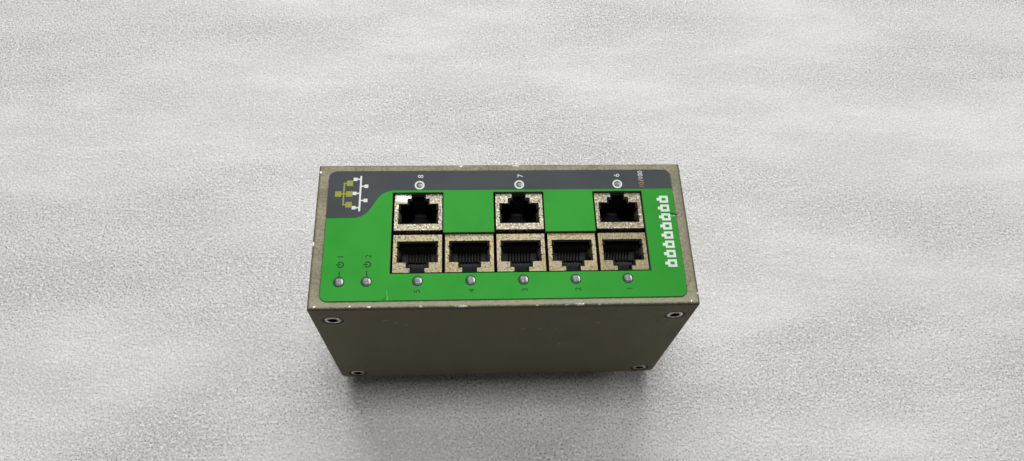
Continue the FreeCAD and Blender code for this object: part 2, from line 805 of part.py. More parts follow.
def power_inductor():
    """Shielded inductor with chamfered corners."""
    c = inductor_chamfer
    x, z = inductor_x, inductor_z
    corners = [(x[0] + c, z[0], 0), (x[1] - c, z[0], 0), (x[1], z[0] + c, 0), (x[1], z[1] - c, 0),
               (x[1] - c, z[1], 0), (x[0] + c, z[1], 0), (x[0], z[1] - c, 0), (x[0], z[0] + c, 0)]
    return plate(corners, in_xz(main_board_y), Vector(0, inductor_h, 0))


def power_capacitors():
    cans = []
    for x in capacitor_x:
        foot = Vector(x, main_board_y, capacitor_z)
        cans.append(bar(capacitor_r, foot, Vector(0, 1, 0), capacitor_h, shown_sides))
    return Part.makeCompound(cans)


def crystal():
    """Metal can with rounded ends."""
    half = crystal_r * math.cos(math.pi / hidden_sides)
    pieces = [box(crystal_x, (main_board_y, main_board_y + crystal_h), (crystal_z - half, crystal_z + half))]
    for x in crystal_x:
        pieces.append(bar(crystal_r, Vector(x, main_board_y, crystal_z), Vector(0, 1, 0), crystal_h))
    return fused(pieces)


def board_header():
    """Pin header on the main board that reaches the upper one."""
    pieces = [box(header_x, (main_board_y, main_board_y + header_h), header_z)]
    half = header_pin_w / 2
    middle_x = sum(header_x) / 2
    middle_z = sum(header_z) / 2
    for i in range(header_pins):
        x = middle_x + (i - (header_pins - 1) / 2) * terminal_pitch
        y = (main_board_y + header_h - 0.5, upper_board_y - socket_h)
        pieces.append(box((x - half, x + half), y, (middle_z - half, middle_z + half)))
    return fused(pieces)


def board_socket():
    """Socket under the upper board that takes the header's pins."""
    return box(header_x, (upper_board_y - socket_h, upper_board_y), socket_z)


# ---------------------------------------------------------------- earth screw
def earth_screw():
    """Screw with its washer, on the left end plate."""
    seat = Vector(-end_x - earth_washer_t, earth_y, earth_z)
    inward = Vector(1, 0, 0)
    screw = button_screw(seat, inward, earth_head_r, earth_head_h, earth_shank_r, earth_len)
    washer = bar(earth_washer_r, seat, inward, earth_washer_t, shown_sides)
    return fused([screw, washer])


def earth_nut():
    seat = Vector(-inner_end_x, earth_y, earth_z)
    nut = hexagon(earth_nut_af, seat, Vector(1, 0, 0), earth_nut_t)
    return nut.cut(bar(earth_bore_r, seat, Vector(1, 0, 0), earth_nut_t))


# ---------------------------------------------------------------- rail clip
def clip_screws():
    tops = [Vector(0, y, clip_h - clip_base_t) for y in (-clip_screw_y, clip_screw_y)]
    return Part.makeCompound([countersunk_screw(top, Z_UP, clip_screw_len) for top in tops])


def clip_hook():
    """Side view of a fixed hook, with a lip that slopes for the rail's edge."""
    back = -rail_half - hook_t
    tip = -rail_half + hook_lip
    root = clip_h - clip_base_t + merge
    return [(back, root, 0), (-rail_half, root, 0), (-rail_half, hook_h, 0), (tip, hook_h, 0),
            (tip, hook_h - hook_lip_t, 0), (tip - 1.2, 0, 0), (back, 0, 0)]


def clip_gusset():
    """Side view of the web that backs a hook."""
    back = -rail_half - hook_t
    base_low = clip_h - clip_base_t
    foot = clip_x[0] + 2
    return [(foot, base_low + merge, 0), (back + merge, base_low + merge, 0), (back + merge, 0.5, 0),
            (back, 0.5, 0), (foot, base_low, 0)]


def clip_guide(side):
    """Rail beside the latch, with a groove for its tongue and a hollow against sink marks."""
    base_low = clip_h - clip_base_t
    inner = latch_w / 2 + latch_play
    guide = box((rail_half + 0.3, clip_x[1]), (side * inner, side * clip_w / 2), (0, base_low + merge))
    groove_z = (tongue_z[0] - groove_play, tongue_z[1] + groove_play)
    groove_y = (side * latch_w / 2, side * (inner + tongue_reach + groove_play))
    groove = box((rail_half - 1, clip_x[1] + 1), groove_y, groove_z)
    hollow_y = (side * (clip_w / 2 - guide_wall - guide_hollow_w), side * (clip_w / 2 - guide_wall))
    hollow = box((rail_half + 2.5, clip_x[1] - guide_wall), hollow_y, (-1, base_low))
    return guide.cut([groove, hollow])


def clip_body():
    """Moulded clip: base, two fixed hooks with gussets, guides for the latch, and the spring's stop."""
    base_low = clip_h - clip_base_t
    half = clip_w / 2
    inner = hook_split / 2
    pieces = [plate(rectangle(clip_x, (-half, half), 2.0), in_xy(base_low), Z_UP * clip_base_t)]
    for side in (-1, 1):
        hook_y = inner if side > 0 else -half
        pieces.append(plate(clip_hook(), in_xz(hook_y), Vector(0, half - inner, 0)))
        for y in (inner, half - gusset_t):
            start = y if side > 0 else -y - gusset_t
            pieces.append(plate(clip_gusset(), in_xz(start), Vector(0, gusset_t, 0)))
        pieces.append(clip_guide(side))
    stop_half = pocket_w / 2 - 0.5
    pieces.append(box(stop_post_x, (-stop_half, stop_half), (1.0, base_low + merge)))
    depth = clip_base_t + 1
    holes = [countersink(Vector(0, y, base_low), Z_UP, depth) for y in (-clip_screw_y, clip_screw_y)]
    return fused(pieces).cut(holes)


def clip_latch():
    """Sliding latch: a nose under the rail's lip, tongues in the guides, and an eye for a screwdriver."""
    half = latch_w / 2
    low, high = latch_z
    nose_tip = rail_half - hook_lip
    side_view = [(latch_x[0], high, 0), (latch_x[0], hook_h, 0), (nose_tip, hook_h, 0),
                 (nose_tip, hook_h - 0.6, 0), (latch_x[0] - 0.4, low, 0), (latch_x[1] - 0.8, low, 0),
                 (latch_x[1], low + 0.8, 0), (latch_x[1], high, 0)]
    slide = plate(side_view, in_xz(-half), Vector(0, latch_w, 0))
    shoulder = latch_x[1] - handle_l - 3
    waist = latch_x[1] - handle_l
    handle = half - handle_step
    plan = [(nose_tip - 1, -half, 0), (shoulder, -half, 0), (waist, -handle, 0), (latch_x[1], -handle, 2.0),
            (latch_x[1], handle, 2.0), (waist, handle, 0), (shoulder, half, 0), (nose_tip - 1, half, 0)]
    pieces = [slide.common(plate(plan, in_xy(-1), Z_UP * clip_h))]
    for side in (-1, 1):
        tongue_y = (side * (half - merge), side * (half + latch_play + tongue_reach - groove_play))
        pieces.append(box(tongue_x, tongue_y, tongue_z))
    pocket = box(pocket_x, (-pocket_w / 2, pocket_w / 2), (-1, clip_h))
    eye = box((latch_x[1] - 6, latch_x[1] - 3), (-eye_w / 2, eye_w / 2), (-1, clip_h))
    return fused(pieces).cut([pocket, eye])


def latch_spring():
    """Strip spring folded to and fro, between the latch's pocket and the clip's stop."""
    start = pocket_x[0] + spring_t / 2 + spring_seat
    length = stop_post_x[0] - pocket_x[0] - spring_t - 2 * spring_seat
    pitch = length / spring_bends
    path = [(start, -spring_half_w)]
    for i in range(spring_bends):
        side = 1 if i % 2 == 0 else -1
        x = start + i * pitch
        path.append((x, side * (spring_half_w - 0.5)))
        path.append((x + pitch / 2, side * spring_half_w))
        path.append((x + pitch, side * (spring_half_w - 0.5)))
    path.append((start + length, -spring_half_w * side))
    return bent_strip(path, spring_t, in_xy(spring_z[0]), Z_UP * (spring_z[1] - spring_z[0]))


# ---------------------------------------------------------------- the whole part
def build():
    os.makedirs("parts", exist_ok=True)
    save("front_cover", front_cover())
    save("rear_chassis", rear_chassis())
    save("side_screws", side_screws())
    save("clinch_nuts", clinch_nuts())
    save("front_overlay", front_overlay())
    save("overlay_grey_field", ink_field())
    for kind, shape in (("shield", jack_shield()), ("insert", jack_insert()), ("contacts", jack_contacts())):
        for number, place in enumerate(jack_places, start=1):
            save(f"jack_{kind}_{number}", place_jack_piece(shape, place))
    for name, x, y, upper in lamp_places():
        save(name, place_lamp(lamp(lamp_from_board[upper]), x, y, upper))
    main_y = (main_board_y - board_t, main_board_y)
    upper_y_pair = (upper_board_y, upper_board_y + board_t)
    save("main_board", circuit_board(main_board_x, main_y, main_board_rear))
    save("upper_board", circuit_board(upper_board_x, upper_y_pair, upper_board_rear))
    save("board_standoffs", board_standoffs())
    save("board_spacers", board_spacers())
    save("board_screws", board_screws())
    save("board_header", board_header())
    save("board_socket", board_socket())
    save("terminal_header", terminal_header())
    save("terminal_pins", terminal_pins())
    save("switch_chip", switch_chip())
    save("port_transformers", port_transformers())
    save("power_inductor", power_inductor())
    save("power_capacitors", power_capacitors())
    save("crystal", crystal())
    save("earth_screw", earth_screw())
    save("earth_nut", earth_nut())
    save("clip_body", clip_body())
    save("clip_latch", clip_latch())
    save("latch_spring", latch_spring())
    save("clip_screws", clip_screws())


build()
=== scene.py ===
# %% [markdown]
# # Dressing a network switch for a mounting rail
# The switch is a folded steel box with eight jacks in its front panel, lying on its back. Its
# solids, at their real size, come from a frame that is loaded first. This notebook dresses them:
# it rounds the edges that a sheet or a moulding has, adds lamps, screw heads and printing, and
# gives each surface a finish. Every length is in metres, in the frame's own X, Y and Z.

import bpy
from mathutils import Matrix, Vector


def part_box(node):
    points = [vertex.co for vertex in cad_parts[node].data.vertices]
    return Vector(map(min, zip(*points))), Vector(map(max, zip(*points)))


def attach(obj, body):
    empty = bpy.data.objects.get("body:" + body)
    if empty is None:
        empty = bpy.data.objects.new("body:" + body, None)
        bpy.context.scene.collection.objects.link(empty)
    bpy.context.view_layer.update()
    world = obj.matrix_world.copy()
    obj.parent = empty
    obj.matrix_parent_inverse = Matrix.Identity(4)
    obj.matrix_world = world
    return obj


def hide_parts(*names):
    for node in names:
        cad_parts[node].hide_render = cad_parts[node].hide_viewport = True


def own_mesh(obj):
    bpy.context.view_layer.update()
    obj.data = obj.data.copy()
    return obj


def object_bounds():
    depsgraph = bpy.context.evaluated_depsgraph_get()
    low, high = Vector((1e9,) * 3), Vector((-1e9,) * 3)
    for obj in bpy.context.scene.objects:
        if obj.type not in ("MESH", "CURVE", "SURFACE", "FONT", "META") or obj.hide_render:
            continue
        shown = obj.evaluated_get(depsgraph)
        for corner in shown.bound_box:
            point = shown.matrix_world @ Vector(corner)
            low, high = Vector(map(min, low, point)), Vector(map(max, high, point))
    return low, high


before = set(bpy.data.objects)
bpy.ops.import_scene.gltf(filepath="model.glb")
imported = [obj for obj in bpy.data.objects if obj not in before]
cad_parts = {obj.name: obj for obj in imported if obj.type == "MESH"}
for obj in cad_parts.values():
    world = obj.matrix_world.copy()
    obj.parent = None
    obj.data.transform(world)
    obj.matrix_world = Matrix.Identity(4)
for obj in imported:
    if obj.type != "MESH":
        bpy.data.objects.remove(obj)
cad_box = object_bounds()
print("CAD nodes:", len(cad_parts), "box:", cad_box)

# %% [markdown]
# ## Tools and units
# The switch is small, so most sizes read best in millimetres. Multiplying by MM turns them into
# the metres that Blender works in.

# %% Tools
import math

import bmesh
import bpy
from mathutils import Matrix, Vector

MM = 0.001
scene = bpy.context.scene
print("one millimetre is", MM, "m")

# %% [markdown]
# ## The camera
# We look down on the front panel from the side of the lower jacks. A camera is easy to place by
# what it looks at: a point, a direction given by two angles, a distance, and a small roll for a
# camera held in the hand. The short lens gives the strong perspective of a close view.

# %% Camera
panel_low, panel_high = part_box("front_cover")
panel_z = panel_high.z
aim = Vector((4.0 * MM, 0.57 * MM, panel_z))
view_elevation = math.radians(63.06)
view_azimuth = math.radians(7.23)
view_roll = math.radians(5.88)
view_distance = 252.7 * MM

flat = math.cos(view_elevation)
forward = Vector((math.sin(view_azimuth) * flat, math.cos(view_azimuth) * flat,
                  -math.sin(view_elevation)))
level = forward.cross(Vector((0, 0, 1))).normalized()
upright = level.cross(forward)
right = level * math.cos(view_roll) + upright * math.sin(view_roll)
up = right.cross(forward)

camera = bpy.data.objects.new("camera", bpy.data.cameras.new("camera"))
scene.collection.objects.link(camera)
turn = Matrix((right, up, -forward)).transposed().to_4x4()
camera.matrix_world = Matrix.Translation(aim - forward * view_distance) @ turn
camera.data.sensor_width = 36
camera.data.lens = 26.67
camera.data.clip_start = 0.01
scene.camera = camera
print("camera at", [round(v, 3) for v in camera.matrix_world.translation])

# %% [markdown]
# ## Small helpers for shader nodes
# A material is a tree of nodes. Short functions keep the code readable: one writes a colour as a
# screen shows it, one adds a node with its settings and inputs, and the others name the sums that
# come up most.

# %% Node helpers
def screen_colour(red, green, blue):
    """A colour from 0 to 255 as a screen shows it, turned into the linear values of a shader."""
    parts = [value / 255 for value in (red, green, blue)]
    linear = [((part + 0.055) / 1.055) ** 2.4 if part > 0.04 else part / 12.92 for part in parts]
    return (*linear, 1.0)


def add_node(tree, kind, inputs=None, **settings):
    """A new node. An input takes a plain value, or another node's output to link to."""
    node = tree.nodes.new("ShaderNode" + kind)
    for name, value in settings.items():
        setattr(node, name, value)
    for socket, value in (inputs or {}).items():
        if isinstance(value, bpy.types.NodeSocket):
            tree.links.new(value, node.inputs[socket])
        else:
            node.inputs[socket].default_value = value
    return node


def calculate(tree, operation, *values):
    return add_node(tree, "Math", dict(enumerate(values)), operation=operation).outputs[0]


def multiply(tree, first, second):
    return calculate(tree, "MULTIPLY", first, second)


def largest(tree, *values):
    """The largest of two or more values, which is how masks are laid over each other."""
    total = values[0]
    for value in values[1:]:
        total = calculate(tree, "MAXIMUM", total, value)
    return total


def vector_sum(tree, operation, first, second):
    return add_node(tree, "VectorMath", {0: first, 1: second}, operation=operation).outputs[0]


def fade(tree, value, start, end, low=0.0, high=1.0):
    """A smooth step from low to high, while value goes from start to end."""
    inputs = {"Value": value, "From Min": start, "From Max": end, "To Min": low, "To Max": high}
    return add_node(tree, "MapRange", inputs, interpolation_type="SMOOTHSTEP").outputs[0]


def blend_colours(tree, share, first, second):
    return add_node(tree, "Mix", {0: share, 6: first, 7: second}, data_type="RGBA").outputs[2]


def noise(tree, position, size, detail=2.0, roughness=0.5):
    """Cloudy noise whose blobs are about size metres across."""
    inputs = {"Vector": position, "Scale": 1 / size, "Detail": detail, "Roughness": roughness}
    return add_node(tree, "TexNoise", inputs).outputs[0]


print("a middle grey is", round(screen_colour(128, 128, 128)[0], 3), "in a shader")

# %% [markdown]
# ## Effects that several finishes share
# Grain, worn edges and single chips turn up on paint, plastic and metal alike, so each is built
# once as a node group with named inputs and outputs. A group gives out only masks and heights.
# The shader itself stays in each material, where its gloss can differ.

# %% Group helpers
def new_group(name, inputs, outputs):
    """An empty node group and the nodes that stand for its inputs and outputs."""
    tree = bpy.data.node_groups.new(name, "ShaderNodeTree")
    for socket, kind, value in inputs:
        made = tree.interface.new_socket(socket, in_out="INPUT", socket_type="NodeSocket" + kind)
        if value is not None:
            made.default_value = value
    for socket in outputs:
        tree.interface.new_socket(socket, in_out="OUTPUT", socket_type="NodeSocketFloat")
    return tree, tree.nodes.new("NodeGroupInput").outputs, tree.nodes.new("NodeGroupOutput").inputs


def place_group(tree, group, inputs):
    """A node that holds a shared group, with its own values. Returns its outputs."""
    node = tree.nodes.new("ShaderNodeGroup")
    node.node_tree = group
    for socket, value in inputs.items():
        if isinstance(value, bpy.types.NodeSocket):
            tree.links.new(value, node.inputs[socket])
        else:
            node.inputs[socket].default_value = value
    return node.outputs


print("group helpers: new_group, place_group")

# %% [markdown]
# ### Grain
# Paint, plastic and film are never quite even. The grain group mixes fine noise with broad
# clouds: Tone shifts a colour a little, and Height is for a bump node.

# %% Grain group
grain, given, give = new_group("grain", [
    ("Position", "Vector", None), ("Size", "Float", 0.3 * MM), ("Cloud Size", "Float", 9 * MM),
    ("Clouds", "Float", 0.5)], ["Tone", "Height"])
fine_scale = calculate(grain, "DIVIDE", 1.0, given["Size"])
cloud_scale = calculate(grain, "DIVIDE", 1.0, given["Cloud Size"])
fine = add_node(grain, "TexNoise", {"Vector": given["Position"], "Scale": fine_scale, "Detail": 3.0})
cloud = add_node(grain, "TexNoise", {"Vector": given["Position"], "Scale": cloud_scale, "Detail": 4.0})
clouds_share = add_node(grain, "Mix", {0: given["Clouds"], 2: fine.outputs[0], 3: cloud.outputs[0]})
grain.links.new(clouds_share.outputs[0], give["Tone"])
grain.links.new(fine.outputs[0], give["Height"])
print("grain group:", len(grain.nodes), "nodes")

# %% [markdown]
# ### Worn edges
# Knocks take paint off the edges of a box first. For a point on a box, the distances to the two
# nearest pairs of faces tell how close the nearest edge is: the smallest of the three is zero on
# a face, and the middle one is the distance to the edge. Paint is gone where noise rises above a
# level, and the level falls towards the edge.

# %% Worn edges group
worn_edges, given, give = new_group("worn_edges", [
    ("Position", "Vector", None), ("Low", "Vector", (0, 0, 0)), ("High", "Vector", (1, 1, 1)),
    ("Reach", "Float", 1 * MM), ("Chip Size", "Float", 1 * MM), ("Amount", "Float", 0.3)], ["Mask"])
from_low = vector_sum(worn_edges, "SUBTRACT", given["Position"], given["Low"])
from_high = vector_sum(worn_edges, "SUBTRACT", given["High"], given["Position"])
low_size = add_node(worn_edges, "VectorMath", {0: from_low}, operation="ABSOLUTE").outputs[0]
high_size = add_node(worn_edges, "VectorMath", {0: from_high}, operation="ABSOLUTE").outputs[0]
nearest = vector_sum(worn_edges, "MINIMUM", low_size, high_size)
x, y, z = add_node(worn_edges, "SeparateXYZ", {0: nearest}).outputs
smaller = calculate(worn_edges, "MINIMUM", x, y)
larger = largest(worn_edges, x, y)
middle = largest(worn_edges, smaller, calculate(worn_edges, "MINIMUM", larger, z))
near_edge = fade(worn_edges, calculate(worn_edges, "DIVIDE", middle, given["Reach"]), 1.0, 0.0)
chip_scale = calculate(worn_edges, "DIVIDE", 1.0, given["Chip Size"])
ragged = add_node(worn_edges, "TexNoise", {"Vector": given["Position"], "Scale": chip_scale,
                                           "Detail": 5.0, "Roughness": 0.65}).outputs[0]
drop = multiply(worn_edges, near_edge, given["Amount"])
level = calculate(worn_edges, "SUBTRACT", 0.95, drop)
above = calculate(worn_edges, "SUBTRACT", ragged, level)
worn_edges.links.new(fade(worn_edges, above, 0.0, 0.03), give["Mask"])
print("worn edges group:", len(worn_edges.nodes), "nodes")

# %% [markdown]
# ### One chip or scuff
# Some knocks are landmarks of this very switch, so they need a place and a size. The group gives
# a mask that is a stretched blob with a ragged border.

# %% Chip group
chip, given, give = new_group("chip", [
    ("Position", "Vector", None), ("Place", "Vector", (0, 0, 0)),
    ("Half Size", "Vector", (MM, MM, MM)), ("Ragged", "Float", 0.6)], ["Mask"])
offset = vector_sum(chip, "SUBTRACT", given["Position"], given["Place"])
scaled = vector_sum(chip, "DIVIDE", offset, given["Half Size"])
distance = add_node(chip, "VectorMath", {0: scaled}, operation="LENGTH").outputs["Value"]
border = calculate(chip, "SUBTRACT", noise(chip, given["Position"], 0.45 * MM, 3.0), 0.5)
shift = multiply(chip, border, multiply(chip, given["Ragged"], 4.0))
chip.links.new(fade(chip, calculate(chip, "ADD", distance, shift), 1.05, 0.8), give["Mask"])
print("chip group:", len(chip.nodes), "nodes")


def chips(tree, position, places, ragged=0.6):
    """One mask for several chips, each given as (place, half size), both in millimetres."""
    masks = []
    for place, half_size in places:
        inputs = {"Position": position, "Place": Vector(place) * MM,
                  "Half Size": Vector(half_size) * MM, "Ragged": ragged}
        masks.append(place_group(tree, chip, inputs)["Mask"])
    return largest(tree, *masks)


# %% [markdown]
# ## Loose solids of one node
# Identical fasteners share one node. To finish or replace them one by one we need the place of
# each, so we walk over the mesh from vertex to vertex and collect the islands.

# %% Islands
def island_boxes(node):
    """Lowest and highest corner of each separate solid in a node, sorted by place."""
    builder = bmesh.new()
    builder.from_mesh(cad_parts[node].data)
    bmesh.ops.remove_doubles(builder, verts=builder.verts, dist=0.002 * MM)
    left = set(builder.verts)
    boxes = []
    while left:
        stack = [left.pop()]
        island = []
        while stack:
            corner = stack.pop()
            island.append(corner.co.copy())
            for edge in corner.link_edges:
                other = edge.other_vert(corner)
                if other in left:
                    left.remove(other)
                    stack.append(other)
        low = Vector([min(p[i] for p in island) for i in range(3)])
        high = Vector([max(p[i] for p in island) for i in range(3)])
        boxes.append((low, high))
    builder.free()
    return sorted(boxes, key=lambda pair: tuple(round(v, 5) for v in pair[0]))


screw_boxes = island_boxes("side_screws")
screw_xs = sorted({round((low.x + high.x) / 2, 6) for low, high in screw_boxes})
screw_zs = sorted({round((low.z + high.z) / 2, 6) for low, high in screw_boxes})
print("side screws:", len(screw_boxes), "at X", screw_xs, "and Z", screw_zs)

# %% [markdown]
# ### Distance from a screw's axis
# The paint round the screws in the long sides, and the screws' own rims, get painted shade, as in a
# countersink's gap. Both finishes ask how far a point is from the nearest screw's axis, which runs along Y.

# %% Screw distance group
from_screw, given, give = new_group("from_screw", [("Position", "Vector", None)], ["Distance"])
x, _, z = add_node(from_screw, "SeparateXYZ", {0: given["Position"]}).outputs
squares = []
for value, places in ((x, screw_xs), (z, screw_zs)):
    offsets = [calculate(from_screw, "SUBTRACT", value, place) for place in places]
    gaps = [calculate(from_screw, "ABSOLUTE", offset) for offset in offsets]
    squares.append(calculate(from_screw, "POWER", calculate(from_screw, "MINIMUM", *gaps), 2.0))
distance = calculate(from_screw, "SQRT", calculate(from_screw, "ADD", *squares))
from_screw.links.new(distance, give["Distance"])
print("screw distance group:", len(from_screw.nodes), "nodes")

# %% [markdown]
# ### Distance from a rounded outline
# The paint is darker along the edge of the film, and painted shade lies along the panel's folds.
# The distance to a rectangle with rounded corners has a short formula. Fold the plane onto one quarter
# by taking sizes, measure from the centre of the corner's arc, and take the length of what is left outside
# that centre.

# %% Outline distance group
from_outline, given, give = new_group("from_outline", [
    ("Position", "Vector", None), ("Middle", "Vector", (0, 0, 0)),
    ("Half Size", "Vector", (MM, MM, 0)), ("Radius", "Float", MM)], ["Distance"])
centred = vector_sum(from_outline, "SUBTRACT", given["Position"], given["Middle"])
folded = add_node(from_outline, "VectorMath", {0: centred}, operation="ABSOLUTE").outputs[0]
from_side = vector_sum(from_outline, "SUBTRACT", folded, given["Half Size"])
x, y, _ = add_node(from_outline, "SeparateXYZ", {0: from_side}).outputs
past = [calculate(from_outline, "ADD", value, given["Radius"]) for value in (x, y)]
outside = [largest(from_outline, value, 0.0) for value in past]
squares = [multiply(from_outline, value, value) for value in outside]
length = calculate(from_outline, "SQRT", calculate(from_outline, "ADD", *squares))
inside = calculate(from_outline, "MINIMUM", largest(from_outline, *past), 0.0)
signed = calculate(from_outline, "SUBTRACT", calculate(from_outline, "ADD", length, inside), given["Radius"])
from_outline.links.new(calculate(from_outline, "ABSOLUTE", signed), give["Distance"])
print("outline distance group:", len(from_outline.nodes), "nodes")

# %% [markdown]
# ## Starting a material
# Every finish starts the same way: one shader, and the position of the shaded point on the object.
# Values that are the same all over go straight onto the shader's sockets.

# %% Material helpers
def start_material(name, **constants):
    """A material, its node tree, its shader and the position output. In constants, _ stands for a space."""
    material = bpy.data.materials.new(name)
    material.use_nodes = True
    tree = material.node_tree
    shader = tree.nodes["Principled BSDF"]
    for socket, value in constants.items():
        shader.inputs[socket.replace("_", " ")].default_value = value
    position = add_node(tree, "TexCoord").outputs["Object"]
    return material, tree, shader, position


def bump(tree, shader, height, depth):
    """Bends the shader's normals by a height, where 1 stands depth metres proud."""
    node = add_node(tree, "Bump", {"Height": height, "Strength": 1.0, "Distance": depth})
    tree.links.new(node.outputs[0], shader.inputs["Normal"])


def grain_tones(tree, position, size, cloud_size, clouds):
    """The grain group's outputs, Tone and Height."""
    return place_group(tree, grain, {"Position": position, "Size": size, "Cloud Size": cloud_size,
                                     "Clouds": clouds})


def outline_distance(tree, position, low, high, radius):
    """How far a point is from a box seen from above, whose corners have a radius."""
    return place_group(tree, from_outline, {"Position": position, "Middle": (low + high) / 2,
                                            "Half Size": (high - low) / 2, "Radius": radius})["Distance"]


def shade_of(tint, factor):
    """A colour made darker or lighter."""
    return (*[min(1.0, part * factor) for part in tint[:3]], 1.0)


print("material helpers: start_material, bump, grain_tones, outline_distance, shade_of")

# %% [markdown]
# ## Housing paint
# The box is sprayed khaki grey. Handling has rubbed its folds, so bright metal shows in specks
# along them and in a few larger chips. The specks are worked out from the distance to an edge, but
# the larger chips and the scuffs are landmarks, so lists hold the place of each and half its size
# in millimetres. Most lie along the near fold, at a distance inward from it.

# %% Chips and scuffs
film_low, film_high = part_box("front_overlay")
near_y, far_y = panel_low.y / MM, panel_high.y / MM
left_x, right_x = panel_low.x / MM, panel_high.x / MM
top_z = panel_z / MM
near_chips = [(-12.9, 0.5, (2.0, 0.4, 0.5)), (-25.8, 0.6, (0.7, 0.3, 0.4)), (-41.8, 0.7, (0.6, 0.3, 0.4)),
              (11.2, 0.4, (0.7, 0.3, 0.4)), (20.5, 0.3, (0.6, 0.3, 0.4)), (25.0, 0.6, (1.4, 0.35, 0.5)),
              (31.0, 0.4, (0.6, 0.3, 0.4)), (-48.0, 0.9, (0.3, 0.25, 0.3)),
              (right_x - 2.6, 1.3, (0.2, 0.4, 0.3)), (left_x + 2.2, 1.0, (0.3, 0.25, 0.3))]
panel_chips = [((x, near_y + inward, top_z), half_size) for x, inward, half_size in near_chips]
panel_chips += [((-12.9, far_y - 0.4, top_z), (0.9, 0.6, 0.5)), ((6.1, far_y - 0.6, top_z), (1.2, 0.35, 0.5)),
                ((right_x - 0.2, near_y + 3.6, top_z - 0.3), (0.3, 0.5, 0.6)),
                ((left_x + 0.3, -3.6, top_z - 0.1), (0.25, 0.9, 0.5)),
                ((left_x + 0.5, 23.5, top_z), (0.3, 0.5, 0.4))]
scuffs = [(-38.0, 71.5, (1.2, 1.0, 0.35)), (-34.5, 69.0, (0.8, 1.0, 0.3)), (-31.5, 66.5, (0.9, 1.0, 0.3)),
          (8.0, 61.0, (0.8, 1.0, 0.4)), (13.5, 60.5, (0.5, 1.0, 0.3)), (19.0, 61.0, (0.6, 1.0, 0.3)),
          (33.0, 66.0, (0.5, 1.0, 0.9)), (22.0, 44.0, (0.4, 1.0, 0.6))]
side_scuffs = [((x, near_y, z), half_size) for x, z, half_size in scuffs]
tear_dark_mark = [((film_high.x / MM - 0.9, 6.2, top_z), (1.7, 0.6, 0.4))]
print("chips:", len(panel_chips), "scuffs:", len(side_scuffs))

# %% [markdown]
# ### The clean coat
# The paint's colour is built up in layers. The lowest is the clean coat, mottled between two
# khakis, with a painted highlight in a paler strip along the near fold. Contrast says how strong the mottle
# is, which is less on the sides than on the panel.

# %% Coat
khaki = screen_colour(124, 119, 97)
khaki_light = screen_colour(156, 151, 127)
khaki_fold_highlight = screen_colour(166, 163, 136)


def khaki_coat(tree, tone, across, contrast):
    mottle = calculate(tree, "SUBTRACT", fade(tree, tone, 0.38, 0.62), 0.5)
    mottle = calculate(tree, "ADD", multiply(tree, mottle, contrast), 0.5)
    coat = blend_colours(tree, mottle, khaki, khaki_light)
    # painted highlight: the strip along the near fold is paler, where the fold catches the light
    near_fold_highlight = fade(tree, across, panel_low.y + 4 * MM, panel_low.y + 1.5 * MM, 0.0, 0.6)
    return blend_colours(tree, near_fold_highlight, coat, khaki_fold_highlight)


print("coat:", [round(part, 2) for part in khaki], "to", [round(part, 2) for part in khaki_light])

# %% [markdown]
# ### Darkening and painted shade
# The paint is darker beside the film on the panel and in the film's torn edge. Painted shade lies
# along the panel's folds and in a ring round each screw. Each place has its mask, and the largest of them
# counts.

# %% Darkening and painted shade
# one dark tint for the darker marks by the film and for the painted shade
dark_and_shade_tint = screen_colour(44, 38, 31)
film_corner_r = 2.5 * MM
fold_r = 0.3 * MM


def dirt_mask(tree, position, height):
    from_film = outline_distance(tree, position, film_low, film_high, film_corner_r)
    film_edge_reach = multiply(tree, noise(tree, position, 1.2 * MM, 3.0), 1.0 * MM)
    on_panel = fade(tree, height, panel_z - 0.2 * MM, panel_z - 0.1 * MM, 0.0, 0.75)
    beside_film = multiply(tree, fade(tree, from_film, film_edge_reach, 0.1 * MM), on_panel)

    # painted shade: a ragged dark band where the panel's folds turn away from the light
    from_fold = outline_distance(tree, position, panel_low, panel_high, fold_r)
    reach = fade(tree, noise(tree, position, 0.9 * MM, 3.0, 0.65), 0.4, 0.65, 0.5 * MM, 1.3 * MM)
    near_top = fade(tree, height, panel_z - 1.8 * MM, panel_z - 0.9 * MM, 0.0, 0.7)
    fold_painted_shade = multiply(tree, fade(tree, from_fold, reach, fold_r), near_top)

    # painted shade: a dark ring in the paint round each screw, for the gap of its countersink
    from_axis = place_group(tree, from_screw, {"Position": position})["Distance"]
    screw_ring_painted_shade = fade(tree, from_axis, 4.0 * MM, 3.2 * MM, 0.0, 0.95)
    return largest(tree, beside_film, chips(tree, position, tear_dark_mark), fold_painted_shade, screw_ring_painted_shade)


print("film:", [round(part / MM, 1) for part in film_high - film_low], "mm")

# %% [markdown]
# ### Bare metal on top
# Where the paint is gone, the surface is lighter, smoother, more metallic and a little lower. A
# scuff only lightens the paint. The coat also has low lumps, as thick paint has on a sheet.

# %% Housing paint
bare_metal = screen_colour(236, 234, 228)


